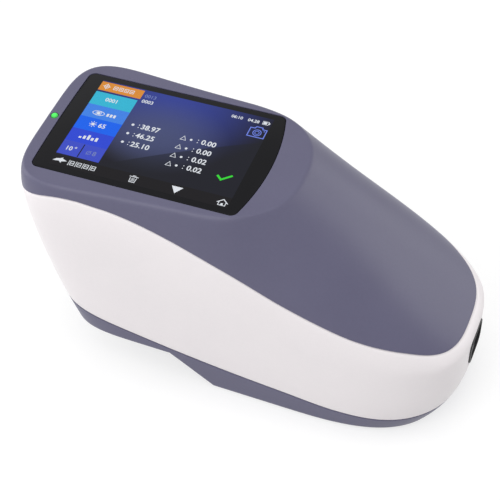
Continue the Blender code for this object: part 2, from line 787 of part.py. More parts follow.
class Meridian:
    """one line down the near side of the hull, or of its inner face, from the platform edge to the table"""

    def __init__(self, station, inset=0.0):
        self.station = station
        self.inset = inset
        self.top = self.point(TAIL_FLARE_HEIGHT)
        self.shoulder = shoulder_height(self.top[0])
        run = self.top[0] - SCREEN_X
        edge = halving(0.0, 1.0, lambda part: self.drop(run, part) > 0)
        platform = halving(
            0.0, 1.0, lambda part: self.drop(run, part) > -edge_softness(SCREEN_X + run * part)
        )
        self.edge = (SCREEN_X + run * edge, self.top[1] * edge)
        x = SCREEN_X + run * platform
        self.platform = Vector((x, -self.top[1] * platform, plane_height(x) - inset))
        self.bottom = FOOT_PROUD
        for _ in range(12):
            self.bottom = underside_height(self.point(self.bottom)[0]) + inset

    def point(self, height, drawn_in=0.0):
        inset = self.inset + drawn_in
        return outline_point(self.station, walls_at(height, inset), inset)

    def drop(self, run, part):
        x = SCREEN_X + run * part
        return plane_height(x) - self.inset - crown_height(x, self.top[1] * part, self.inset)

    def at(self, way):
        """point at 0 on the platform edge, 1 on the shoulder and 2 at the bottom edge"""
        if way <= 1:
            part = math.sin(way * math.pi / 2)
            x = self.edge[0] + (self.top[0] - self.edge[0]) * part
            y = self.edge[1] + (self.top[1] - self.edge[1]) * part
            return Vector((x, -y, top_height(x, y, self.inset)))
        height = self.shoulder + (self.bottom + BOTTOM_EDGE - self.shoulder) * (way - 1)
        x, y = self.point(height)
        return Vector((x, -y, height))

    def seam(self, shares, offset):
        """way down to a seam, moved up or down by an offset"""

        def is_below(way):
            point = self.at(way)
            return point.z < table_height(shares, point.x) + offset

        return halving(0.0, 2.0, is_below)

    def foot(self):
        """the lowest point, drawn in by the bottom edge"""
        x, y = self.point(self.bottom, BOTTOM_EDGE)
        return Vector((x, -y, underside_height(x) + self.inset))


def step_station(x, height):
    """the station whose lowest point lies at a given X"""
    walls = walls_at(height, BOTTOM_EDGE)
    return halving(0.0, 3.0, lambda station: outline_point(station, walls, BOTTOM_EDGE)[0] > x)


def hull_stations():
    """stations round the near half, with one on each edge of the step under the tall end"""
    steps = [step_station(STEP_BACK, FOOT_PROUD + RAISE), step_station(STEP_FRONT, FOOT_PROUD)]
    even = [number / TAIL_STEPS for number in range(TAIL_STEPS)]
    even += [1 + number / SIDE_STEPS for number in range(SIDE_STEPS)]
    even += [2 + number / NOSE_STEPS for number in range(NOSE_STEPS + 1)]
    closest = 1 / (3 * SIDE_STEPS)
    kept = [station for station in even if min(abs(station - step) for step in steps) > closest]
    return sorted(kept + steps)


STATIONS = hull_stations()
OUTSIDE = [Meridian(station) for station in STATIONS]
INSIDE = [Meridian(station, WALL) for station in STATIONS]


def mirrored_ring(points):
    """a closed ring from its near half, which runs from the tall end to the nose"""
    return points + [Vector((point.x, -point.y, point.z)) for point in points[-2:0:-1]]


def shell_rings(lines, start_at, end_at, count):
    """rings spaced evenly down the lines between two ways, each found for every line"""
    ways = [(start_at(line), end_at(line)) for line in lines]
    rings = []
    for number in range(count + 1):
        share = number / count
        points = [line.at(start + (end - start) * share) for line, (start, end) in zip(lines, ways)]
        rings.append(mirrored_ring(points))
    return rings


def upper_seam(offset):
    return lambda line: line.seam(UPPER_SEAM_SHARES, offset)


def lower_seam(offset):
    return lambda line: line.seam(LOWER_SEAM_SHARES, offset)


def shell(name, finish, rings_of, lid=None):
    """a wall between the outer and the inner hull, open at its seams and closed by a lid"""
    shape = bmesh.new()
    outer = [[shape.verts.new(point) for point in ring] for ring in rings_of(OUTSIDE)]
    inner = [[shape.verts.new(point) for point in ring] for ring in rings_of(INSIDE)]
    rows = inner[::-1] + outer if lid == "bottom" else outer + inner[::-1]
    if lid is None:
        rows.append(rows[0])
    count = len(outer[0])
    for upper, lower in zip(rows, rows[1:]):
        for index in range(count):
            after = (index + 1) % count
            shape.faces.new((upper[index], lower[index], lower[after], upper[after]))
    if lid == "top":
        shape.faces.new(outer[0])
        shape.faces.new(inner[0][::-1])
    if lid == "bottom":
        for ring, order in ((outer[-1], 1), (inner[-1], -1)):
            for index in range(count // 2):
                corners = [
                    ring[index], ring[(count - index) % count], ring[count - index - 1], ring[index + 1]
                ]
                shape.faces.new(list(dict.fromkeys(corners))[::order])
    made = add_object(name, to_mesh(name, shape), finish)
    shade(made)
    return made


# Frame of the tilted screen platform, with zero on its surface
screen_frame = frame("screen_frame", (SCREEN_X, 0.0, PLATFORM_HEIGHT), (0.0, -PLATFORM_TILT, 0.0))


def glass_end(reach, bulge, grown):
    """the +X end of the glass from its near to its far corner, in plan"""
    radius = (GLASS_HALF_HEIGHT**2 + bulge**2) / (2 * bulge) + grown
    corner = GLASS_CORNER + grown
    side = GLASS_HALF_HEIGHT - GLASS_CORNER
    lean = math.asin(side / (radius - corner))
    middle = reach + grown - radius
    centre = middle + (radius - corner) * math.cos(lean)
    points = []
    for step in range(5):
        angle = -math.pi / 2 + (math.pi / 2 - lean) * step / 4
        points.append((centre + corner * math.cos(angle), -side + corner * math.sin(angle)))
    for step in range(1, 8):
        angle = -lean + 2 * lean * step / 8
        points.append((middle + radius * math.cos(angle), radius * math.sin(angle)))
    for step in range(5):
        angle = lean + (math.pi / 2 - lean) * step / 4
        points.append((centre + corner * math.cos(angle), side + corner * math.sin(angle)))
    return points


def glass_outline(grown):
    """outline of the screen glass: both ends bulge and the corners are round"""
    right = glass_end(GLASS_RIGHT, GLASS_RIGHT_BULGE, grown)
    left = glass_end(GLASS_LEFT, GLASS_LEFT_BULGE, grown)
    return right + [(-x, -y) for x, y in left]


def light_place(height):
    return (LIGHT_X - SCREEN_X, 0.0, height)


# Heights in the screen frame, below the platform surface
MODULE_TOP = -(WALL + FIT_GAP)
BRACKET_TOP = MODULE_TOP - MODULE_THICKNESS - FIT_GAP
BOARD_TOP = BRACKET_TOP - BRACKET_THICKNESS - SPACER_LENGTH - FIT_GAP
POST_LENGTH = BRACKET_TOP + FIT_GAP


def bracket_posts():
    """the four screw places of the bracket, beyond the ends of the screen module"""
    x = MODULE_LENGTH / 2 + COVER_POST_RADIUS + FIT_GAP
    y = MODULE_WIDTH / 2 - BRACKET_EAR
    return [(side_x * x, side_y * y) for side_x in (-1, 1) for side_y in (-1, 1)]


# Leaning axes of the sphere ports
VIEW_FRAME = frame("view_frame", (SPHERE_X, 0.0, SPHERE_HEIGHT), (0.0, VIEW_ANGLE, 0.0))
LAMP_FRAME = frame("lamp_frame", (SPHERE_X, 0.0, SPHERE_HEIGHT), (0.0, LAMP_ANGLE, 0.0))
CAMERA_FRAME = frame("camera_frame", (SPHERE_X, 0.0, SPHERE_HEIGHT), (CAMERA_ANGLE, 0.0, 0.0))


# Three shells of the housing
def top_cover():
    """dark cover: screen platform, soft shoulders and the crowned slope down to the nose"""

    def rings_of(lines):
        platform = mirrored_ring([line.platform for line in lines])
        return [platform] + shell_rings(lines, lambda line: 0.0, upper_seam(SEAM_GAP / 2), COVER_RINGS)

    made = shell("top_cover", "dark_shell", rings_of, lid="top")
    pocket_depth = GLASS_RECESS + GLASS_THICKNESS + FIT_GAP
    pocket = plate(
        "pocket_cutter", glass_outline(FIT_GAP), pocket_depth + OVERRUN, (0.0, 0.0, -pocket_depth),
        parent=screen_frame
    )
    window = block(
        "window_cutter", (WINDOW_LENGTH, WINDOW_WIDTH, 4 * WALL), (0.0, 0.0, 0.0), parent=screen_frame
    )
    light_depth = 2 * (WALL + OVERRUN)
    light = rod(
        "light_cutter", LIGHT_RADIUS + FIT_GAP, light_depth, light_place(0.0), parent=screen_frame,
        steps=SMALL_ROUND_STEPS
    )
    for x, y in bracket_posts():
        length = -POST_LENGTH - WALL / 2
        place = (x, y, POST_LENGTH + length / 2)
        fuse(made, rod(
            "cover_post", COVER_POST_RADIUS, length, place, parent=screen_frame, steps=SMALL_ROUND_STEPS
        ))
        pilot = rod(
            "cover_pilot", BRACKET_SCREW_RADIUS + SCREW_GAP, length, (x, y, POST_LENGTH), parent=screen_frame,
            steps=SMALL_ROUND_STEPS
        )
        cut(made, pilot)
    cut(made, pocket, window, light)
    return made


def middle_shell():
    """white band between the seams, with the connector window in the nose and the key hole"""

    def rings_of(lines):
        return shell_rings(lines, upper_seam(-SEAM_GAP / 2), lower_seam(SEAM_GAP / 2), SHELL_RINGS)

    made = shell("middle_shell", "white_shell", rings_of)
    outline = rounded_rectangle(
        PANEL_WIDTH + 2 * FIT_GAP, PANEL_HEIGHT + 2 * FIT_GAP, PANEL_CORNER + FIT_GAP
    )
    place = (HALF_LENGTH - 2 * WALL, 0.0, PANEL_Z)
    cut(made, plate("panel_cutter", outline, 4 * WALL, place, turn=ACROSS))
    hole = rounded_rectangle(KEY_LENGTH + 2 * KEY_GAP, KEY_HEIGHT + 2 * KEY_GAP, KEY_HEIGHT / 2 + KEY_GAP)
    cut(made, plate("key_cutter", hole, 4 * WALL, (KEY_X, HALF_WIDTH + 2 * WALL, KEY_Z), turn=UPRIGHT))
    for side in (-1, 1):
        post_end = KEY_BOARD_TOP + FIT_GAP
        length = HALF_WIDTH - WALL / 2 - post_end
        place = (KEY_X + side * KEY_POST_SPREAD, post_end + length / 2, KEY_Z)
        fuse(made, rod("key_post", KEY_POST_RADIUS, length, place, turn=UPRIGHT, steps=SMALL_ROUND_STEPS))
    return made


def leg_places():
    """plan places of the chassis legs with the height of the underside beneath"""
    places = []
    for x, spread in ((LEG_TAIL_X, LEG_SPREAD), (LEG_NOSE_X, LEG_NOSE_SPREAD)):
        places += [(x, -spread, underside_height(x)), (x, spread, underside_height(x))]
    return places


def pad_places():
    places = []
    for x, spread in ((PAD_TAIL_X, PAD_SPREAD), (PAD_NOSE_X, PAD_NOSE_SPREAD)):
        places += [(x, -spread), (x, spread)]
    return places


def base_cover():
    """dark tray: foot, raised tall end with the nose hole, battery bay and door channel"""

    def rings_of(lines):
        rings = shell_rings(lines, lower_seam(-SEAM_GAP / 2), lambda line: 2.0, BASE_RINGS)
        return rings + [mirrored_ring([line.foot() for line in lines])]

    made = shell("base_cover", "dark_shell", rings_of, lid="bottom")

    # Ledge over the door, with the walls and roof of the battery bay
    low = (LEDGE_TAIL, -LEDGE_HALF_WIDTH, CHANNEL_TOP - FIT_GAP)
    fuse(made, box("ledge", low, (LEDGE_NOSE, LEDGE_HALF_WIDTH, LEDGE_TOP)))
    outside = (BAY_HALF_WIDTH + BAY_WALL, BAY_TOP + BAY_WALL)
    low = (BAY_TAIL - BAY_WALL, -outside[0], LEDGE_TOP - FIT_GAP)
    fuse(made, box("bay_block", low, (BAY_NOSE + BAY_WALL, outside[0], outside[1])))
    low = (BAY_TAIL, -BAY_HALF_WIDTH, -OVERRUN)
    cut(made, box("bay_cutter", low, (BAY_NOSE, BAY_HALF_WIDTH, BAY_TOP)))

    # Channel of the sliding door, its keyhole slots and the slot for its tongue
    half = DOOR_HALF_WIDTH + FIT_GAP
    low = (DOOR_TAIL - DOOR_TRAVEL, -half, -OVERRUN)
    cut(made, box("channel_cutter", low, (DOOR_END + FIT_GAP, half, CHANNEL_TOP)))
    for x, y in hook_places():
        low = (x - HOOK_LENGTH / 2 - DOOR_TRAVEL - FIT_GAP, y - HOOK_THICKNESS / 2 - FIT_GAP, 0.0)
        high = (x + HOOK_LENGTH / 2 + FIT_GAP, y + HOOK_THICKNESS / 2 + FIT_GAP, LEDGE_TOP + OVERRUN)
        cut(made, box("slot_cutter", low, high))
    low = (DOOR_END - OVERRUN, -TAB_WIDTH / 2 - FIT_GAP, DOOR_TOP - TAB_THICKNESS - FIT_GAP)
    high = (DOOR_END + TAB_LENGTH + FIT_GAP, TAB_WIDTH / 2 + FIT_GAP, CHANNEL_TOP + FIT_GAP)
    cut(made, box("tongue_cutter", low, high))

    # Hole for the measuring nose, bosses with screw holes, and recesses for the rubber feet
    run = NOSE_FLANGE_HEIGHT + 2 * OVERRUN
    lean = (NOSE_CONE_TOP - NOSE_CONE_BOTTOM) / NOSE_FLANGE_HEIGHT * OVERRUN
    wide = NOSE_CONE_TOP + lean + COLLAR_GAP
    narrow = NOSE_CONE_BOTTOM - lean + COLLAR_GAP
    cut(made, rod("nose_cutter", narrow, run, (SPHERE_X, 0.0, NOSE_FLANGE_HEIGHT / 2), top=wide))
    for x, y, low in leg_places():
        seat = low + SCREW_HEAD_DEPTH + SCREW_HEAD_HEIGHT
        height = LEG_BOSS_HEIGHT + WALL / 2
        place = (x, y, low + WALL / 2 + height / 2)
        fuse(made, rod("leg_boss", LEG_BOSS_RADIUS, height, place, steps=SMALL_ROUND_STEPS))
        place = (x, y, seat - SCREW_LENGTH / 2)
        sink = rod("head_cutter", SCREW_HEAD_RADIUS + FIT_GAP, SCREW_LENGTH, place, steps=SMALL_ROUND_STEPS)
        hole = rod(
            "screw_cutter", SCREW_RADIUS + FIT_GAP, 2 * SCREW_LENGTH, (x, y, seat), steps=SMALL_ROUND_STEPS
        )
        cut(made, sink, hole)
    for x, y in pad_places():
        depth = PAD_RECESS + OVERRUN
        place = (x, y, FOOT_PROUD + PAD_RECESS - depth / 2)
        cut(made, rod("pad_cutter", PAD_RADIUS + FIT_GAP, depth, place, steps=ROUND_STEPS))
    return made


def hook_places():
    y = DOOR_HALF_WIDTH - HOOK_INSET
    return [(x, side * y) for x in HOOK_PLACES for side in (-1, 1)]


# Screen stack under the platform
def screen_stack():
    """glass, screen module, its bracket with screws, main board and what sits on it"""
    place = (0.0, 0.0, -GLASS_RECESS - GLASS_THICKNESS)
    glass = plate("screen_glass", glass_outline(0.0), GLASS_THICKNESS, place, "black_glass", screen_frame)
    soften(glass, GLASS_EDGE)
    low = (-MODULE_LENGTH / 2, -MODULE_WIDTH / 2, MODULE_TOP - MODULE_THICKNESS)
    high = (MODULE_LENGTH / 2, MODULE_WIDTH / 2, MODULE_TOP)
    box("lcd_module", low, high, "black_plastic", screen_frame, bevel=GLASS_EDGE)

    outline = rounded_rectangle(BRACKET_LENGTH, BRACKET_WIDTH, BRACKET_CORNER)
    place = (0.0, 0.0, BRACKET_TOP - BRACKET_THICKNESS)
    bracket = plate("lcd_bracket", outline, BRACKET_THICKNESS, place, "aluminium", screen_frame)
    opening = rounded_rectangle(BRACKET_WINDOW_LENGTH, BRACKET_WINDOW_WIDTH, BRACKET_CORNER)
    place = (0.0, 0.0, BRACKET_TOP - 2 * BRACKET_THICKNESS)
    cut(bracket, plate("bracket_cutter", opening, 3 * BRACKET_THICKNESS, place, parent=screen_frame))
    bottom = BRACKET_TOP - BRACKET_THICKNESS
    for x, y in spacer_places():
        height = SPACER_LENGTH + BRACKET_THICKNESS / 2
        place = (x, y, bottom - SPACER_LENGTH + height / 2)
        fuse(
            bracket,
            rod("spacer", SPACER_RADIUS, height, place, parent=screen_frame, steps=SMALL_ROUND_STEPS)
        )
        height = BOARD_THICKNESS + 2 * SPACER_LENGTH / 3
        place = (x, y, bottom - SPACER_LENGTH - height / 2 + SPACER_LENGTH / 3)
        fuse(bracket, rod("pin", PIN_RADIUS, height, place, parent=screen_frame, steps=SMALL_ROUND_STEPS))
    for number, (x, y) in enumerate(bracket_posts()):
        hole = rod(
            "bracket_hole", BRACKET_SCREW_RADIUS + SCREW_GAP, 3 * BRACKET_THICKNESS, (x, y, bottom),
            parent=screen_frame, steps=SMALL_ROUND_STEPS
        )
        cut(bracket, hole)
        sizes = (BRACKET_SCREW_RADIUS, BRACKET_SCREW_LENGTH, BRACKET_SCREW_HEAD, BRACKET_SCREW_HEAD_HEIGHT)
        screw(f"bracket_screw_{number + 1}", sizes, (x, y, bottom - SCREW_GAP), screen_frame)

    board = box(
        "main_board", (-MAIN_BOARD_LENGTH / 2, -MAIN_BOARD_WIDTH / 2, BOARD_TOP - BOARD_THICKNESS),
        (MAIN_BOARD_LENGTH / 2, MAIN_BOARD_WIDTH / 2, BOARD_TOP), "circuit_board", screen_frame
    )
    for x_share, y_share, length, width in CHIP_TABLE:
        middle = Vector((x_share * MAIN_BOARD_LENGTH, y_share * MAIN_BOARD_WIDTH, 0.0))
        low = middle + Vector((-length / 2, -width / 2, BOARD_TOP - BOARD_THICKNESS - CHIP_HEIGHT))
        high = middle + Vector((length / 2, width / 2, BOARD_TOP - BOARD_THICKNESS / 2))
        fuse(board, box("chip", low, high, parent=screen_frame))
    for x, y in spacer_places():
        hole = rod(
            "pin_cutter", PIN_RADIUS + FIT_GAP, 3 * BOARD_THICKNESS, (x, y, BOARD_TOP), parent=screen_frame,
            steps=SMALL_ROUND_STEPS
        )
        cut(board, hole)

    top = BOARD_TOP - BOARD_THICKNESS - FIT_GAP
    low = (RADIO_X - RADIO_LENGTH / 2, RADIO_Y - RADIO_WIDTH / 2, top - RADIO_THICKNESS)
    high = (RADIO_X + RADIO_LENGTH / 2, RADIO_Y + RADIO_WIDTH / 2, top)
    box("radio_module", low, high, "steel", screen_frame, bevel=GLASS_EDGE)
    profile = [
        (BUZZER_RADIUS, top), (BUZZER_RADIUS, top - BUZZER_HEIGHT), (BUZZER_HOLE, top - BUZZER_HEIGHT),
        (BUZZER_HOLE, top - BUZZER_HEIGHT / 2), (0.0, top - BUZZER_HEIGHT / 2)
    ]
    profile = [(0.0, top)] + profile
    turned(
        "buzzer", profile, (RADIO_X, -RADIO_Y, 0.0), "black_plastic", screen_frame, closed=False,
        steps=SMALL_ROUND_STEPS
    )
    drop = BRACKET_TOP - BRACKET_THICKNESS / 2
    depth = drop - BOARD_TOP - FIT_GAP
    way = [(x * MODULE_LENGTH, drop - z * depth) for x, z in DISPLAY_WAY_SHARES]
    ribbon("display_cable", way, CABLE_WIDTH, screen_frame)

    profile = [(0.0, LIGHT_PROUD)]
    profile += [(LIGHT_RADIUS * math.cos(angle), LIGHT_PROUD * math.sin(angle)) for angle in LIGHT_ANGLES]
    profile += [(LIGHT_RADIUS, LIGHT_PROUD - LIGHT_LENGTH), (0.0, LIGHT_PROUD - LIGHT_LENGTH)]
    turned(
        "indicator_light", profile, light_place(0.0), "green_lens", screen_frame, closed=False,
        steps=SMALL_ROUND_STEPS
    )


def screw(name, sizes, place, parent=None):
    """a round headed screw with its head below the place and a cross recess"""
    radius, length, head_radius, head_height = sizes
    profile = [
        (0.0, length), (radius, length), (radius, 0.0), (head_radius, 0.0), (head_radius, -head_height / 2),
        (head_radius * 2 / 3, -head_height), (0.0, -head_height)
    ]
    made = turned(name, profile, place, "steel", parent, steps=SCREW_STEPS, closed=False)
    for turn in (0.0, math.pi / 2):
        size = (head_radius, head_radius / 4, head_height)
        middle = (place[0], place[1], place[2] - head_height)
        cut(made, block("recess", size, middle, parent=parent, turn=(0.0, 0.0, turn)))
    return made


def spacer_places():
    return [(side_x * SPACER_X, side_y * SPACER_Y) for side_x in (-1, 1) for side_y in (-1, 1)]


# Integrating sphere with its measuring nose, lamp, camera and lens
def sphere_group():
    """two sphere halves, the nose with its bayonet ring, and the optics on the ports"""
    centre = (SPHERE_X, 0.0, SPHERE_HEIGHT)
    outer = SPHERE_RADIUS + SPHERE_WALL
    half_gap = FIT_GAP / 2
    flange = half_gap + SPHERE_FLANGE_THICKNESS

    profile = [(SPHERE_FLANGE_RADIUS, -half_gap), (SPHERE_FLANGE_RADIUS, -flange)]
    profile += arc(outer, -math.asin(flange / outer), -math.acos(SAMPLE_PORT_RADIUS / outer))
    profile += arc(
        SPHERE_RADIUS, -math.acos(SAMPLE_PORT_RADIUS / SPHERE_RADIUS), -math.asin(half_gap / SPHERE_RADIUS)
    )
    turned("sphere_lower", profile, centre, "sphere_white")

    profile = [(0.0, outer)] + arc(outer, math.pi / 2, math.asin(flange / outer))[1:]
    profile += [(SPHERE_FLANGE_RADIUS, flange), (SPHERE_FLANGE_RADIUS, half_gap)]
    profile += arc(SPHERE_RADIUS, math.asin(half_gap / SPHERE_RADIUS), math.pi / 2)[:-1] + [
        (0.0, SPHERE_RADIUS)
    ]
    upper = turned("sphere_upper", profile, centre, "sphere_white", closed=False)
    for x, y in hanger_places():
        height = SPHERE_HEIGHT + half_gap + SPHERE_FLANGE_THICKNESS / 2
        fuse(
            upper, rod("ear", EAR_RADIUS, SPHERE_FLANGE_THICKNESS, (x, y, height), steps=SMALL_ROUND_STEPS)
        )
    ports = (
        (VIEW_FRAME, VIEW_PORT_RADIUS, VIEW_PORT_RADIUS + NECK_WALL, NECK_LENGTH),
        (LAMP_FRAME, LAMP_PORT_RADIUS, LAMP_PORT_RADIUS + BOSS_WALL, LAMP_BOSS_LENGTH),
        (CAMERA_FRAME, CAMERA_PORT_RADIUS, CAMERA_PORT_RADIUS + BOSS_WALL, CAMERA_BOSS_LENGTH),
    )
    for axis, port, boss, length in ports:
        height = length + SPHERE_WALL
        place = (0.0, 0.0, outer + length - height / 2)
        fuse(upper, rod("port_boss", boss, height, place, parent=axis))
    for axis, port, boss, length in ports:
        cut(
            upper,
            rod("port_cutter", port, SPHERE_RADIUS, (0.0, 0.0, outer), parent=axis, steps=SMALL_ROUND_STEPS)
        )

    nose_profile = [
        (NOSE_FLANGE_RADIUS, NOSE_FLANGE_HEIGHT + NOSE_FLANGE_THICKNESS), (
            NOSE_FLANGE_RADIUS, NOSE_FLANGE_HEIGHT
        ),
        (NOSE_CONE_TOP, NOSE_FLANGE_HEIGHT), (NOSE_CONE_BOTTOM, NOSE_CONE_EDGE),
        (NOSE_CONE_BOTTOM - NOSE_CONE_EDGE, 0.0), (RECESS_RADIUS, 0.0), (RECESS_RADIUS, LIP_HEIGHT),
        (GROOVE_RADIUS, LIP_HEIGHT), (GROOVE_RADIUS, RECESS_TOP), (SAMPLE_PORT_RADIUS, RECESS_TOP)
    ]
    bowl = outer + FIT_GAP
    rim = SPHERE_HEIGHT - NOSE_FLANGE_HEIGHT - NOSE_FLANGE_THICKNESS
    seat = arc(bowl, -math.acos(SAMPLE_PORT_RADIUS / bowl), -math.asin(rim / bowl))
    nose_profile += [(radius, height + SPHERE_HEIGHT) for radius, height in seat]
    nose = turned("measuring_nose", nose_profile, (SPHERE_X, 0.0, 0.0), "black_plastic")
    turn = (0.0, 0.0, UNLOCK_ANGLE)
    size = (2 * GROOVE_RADIUS, LUG_WIDTH + 2 * FIT_GAP, 2 * LIP_HEIGHT)
    cut(nose, block("entry_cutter", size, (SPHERE_X, 0.0, 0.0), turn=turn))

    top = APERTURE_RECESS + APERTURE_RING_THICKNESS
    profile = [
        (APERTURE_RING_RADIUS, top), (APERTURE_RING_RADIUS, APERTURE_RECESS + RING_EDGE),
        (APERTURE_RING_RADIUS - RING_EDGE, APERTURE_RECESS), (APERTURE_RADIUS, APERTURE_RECESS),
        (APERTURE_RADIUS, APERTURE_RECESS + RING_EDGE), (APERTURE_RADIUS + APERTURE_FLARE, top)
    ]
    ring = turned("aperture_ring", profile, (SPHERE_X, 0.0, 0.0), "black_plastic")
    for side in (-1, 1):
        reach = (APERTURE_RADIUS + APERTURE_RING_RADIUS) / 2
        far = APERTURE_RING_RADIUS + LUG_REACH
        ends = sorted((SPHERE_X + side * reach, SPHERE_X + side * far))
        low = (ends[0], -LUG_WIDTH / 2, LIP_HEIGHT + FIT_GAP)
        fuse(ring, box("lug", low, (ends[1], LUG_WIDTH / 2, top - RING_EDGE / 4)))
        size = (2 * GRIP_RADIUS, APERTURE_RING_RADIUS / 3, APERTURE_RING_THICKNESS)
        place = (SPHERE_X, side * (APERTURE_RING_RADIUS - RING_EDGE), 0.0)
        cut(ring, block("grip_cutter", size, place))

    neck = outer + NECK_LENGTH
    bore = VIEW_PORT_RADIUS + NECK_WALL + FIT_GAP
    seat_top = neck + FIT_GAP + LENS_SEAT
    profile = [
        (BARREL_RADIUS, BARREL_TOP), (BARREL_RADIUS, seat_top), (
            BARREL_RADIUS + LENS_SEAT, seat_top - LENS_SEAT / 2
        ),
        (BARREL_RADIUS + LENS_SEAT, outer + BARREL_LIFT), (bore, outer + BARREL_LIFT), (
            bore, neck + FIT_GAP
        ),
        (BARREL_BORE - LENS_EDGE, neck + FIT_GAP), (BARREL_BORE - LENS_EDGE, seat_top), (
            BARREL_BORE, seat_top
        ),
        (BARREL_BORE, BARREL_TOP)
    ]
    turned("lens_barrel", profile, (0.0, 0.0, 0.0), "black_plastic", VIEW_FRAME)
    low = seat_top + FIT_GAP + LENS_CROWN / 4
    profile = [
        (LENS_RADIUS * share, low + LENS_EDGE + LENS_CROWN * (1 - share**2)) for share in LENS_SHARES
    ]
    profile += [(LENS_RADIUS, low + LENS_EDGE), (LENS_RADIUS, low)]
    profile += [(LENS_RADIUS * share, low - LENS_CROWN * (1 - share**2)) for share in reversed(LENS_SHARES)]
    turned("collecting_lens", profile, (0.0, 0.0, 0.0), "optical_glass", VIEW_FRAME, closed=False)

    start = outer + LAMP_BOSS_LENGTH + FIT_GAP
    half = LAMP_BOARD_SIDE / 2
    board = box(
        "lamp_board", (-half, -half, start), (half, half, start + BOARD_THICKNESS), "circuit_board",
        LAMP_FRAME
    )
    dome = [(0.0, start - LAMP_DOME_RADIUS)]
    dome += [(radius, start - height) for radius, height in arc(LAMP_DOME_RADIUS, math.pi / 2, 0.0, 4)[1:]]
    dome += [(LAMP_DOME_RADIUS, start + BOARD_THICKNESS / 2), (0.0, start + BOARD_THICKNESS / 2)]
    fuse(
        board,
        turned("dome", dome, (0.0, 0.0, 0.0), parent=LAMP_FRAME, steps=SMALL_ROUND_STEPS, closed=False)
    )

    start = outer + CAMERA_BOSS_LENGTH + FIT_GAP + CAMERA_BARREL_LENGTH
    half = CAMERA_BODY / 2
    body = box(
        "camera_module", (-half, -half, start), (half, half, start + CAMERA_DEPTH), "black_plastic",
        CAMERA_FRAME, bevel=RING_EDGE / 2
    )
    length = 2 * CAMERA_BARREL_LENGTH
    fuse(body, rod("camera_barrel", CAMERA_BARREL_RADIUS, length, (0.0, 0.0, start), parent=CAMERA_FRAME))
    place = (0.0, 0.0, start - length / 2)
    cut(body, rod(
        "camera_eye", CAMERA_PORT_RADIUS / 2, length / 2, place, parent=CAMERA_FRAME,
        steps=SMALL_ROUND_STEPS
    ))


def hanger_places():
    """places beside the sphere where its ears hang from the chassis"""
    reach = SPHERE_FLANGE_RADIUS + EAR_REACH
    return [(SPHERE_X + reach * math.cos(angle), reach * math.sin(angle)) for angle in HANGER_ANGLES]


# Chassis and optical bench
def chassis():
    """plate on four legs that carries the bench on top and the sphere beneath"""
    outline = rounded_rectangle(CHASSIS_LENGTH, CHASSIS_WIDTH, CHASSIS_CORNER)
    made = plate("chassis", outline, CHASSIS_THICKNESS, (CHASSIS_X, 0.0, CHASSIS_HEIGHT), "aluminium")
    top = CHASSIS_HEIGHT + CHASSIS_THICKNESS / 2
    legs = [(x, y, low + WALL + LEG_BOSS_HEIGHT + FIT_GAP, LEG_RADIUS) for x, y, low in leg_places()]
    foot = SPHERE_HEIGHT + SPHERE_FLANGE_THICKNESS + 2 * FIT_GAP
    legs += [(x, y, foot, HANGER_RADIUS) for x, y in hanger_places()]
    for x, y, low, radius in legs:
        place = (x, y, (low + top) / 2)
        fuse(made, rod("leg", radius, top - low, place, steps=SMALL_ROUND_STEPS))
    for x, y, low, radius in legs[:4]:
        hole = rod(
            "pilot", SCREW_RADIUS + SCREW_GAP, 2 * LEG_PILOT_DEPTH, (x, y, low), steps=SMALL_ROUND_STEPS
        )
        cut(made, hole)
    cut(made, rod("barrel_hole", CHASSIS_HOLE, 4 * CHASSIS_THICKNESS, (BEAM_X, 0.0, CHASSIS_HEIGHT)))
    for number, (x, y, low) in enumerate(leg_places()):
        seat = low + SCREW_HEAD_DEPTH + SCREW_HEAD_HEIGHT - SCREW_GAP
        screw(
            f"base_screw_{number + 1}", (SCREW_RADIUS, SCREW_LENGTH, SCREW_HEAD_RADIUS, SCREW_HEAD_HEIGHT),
            (x, y, seat)
        )


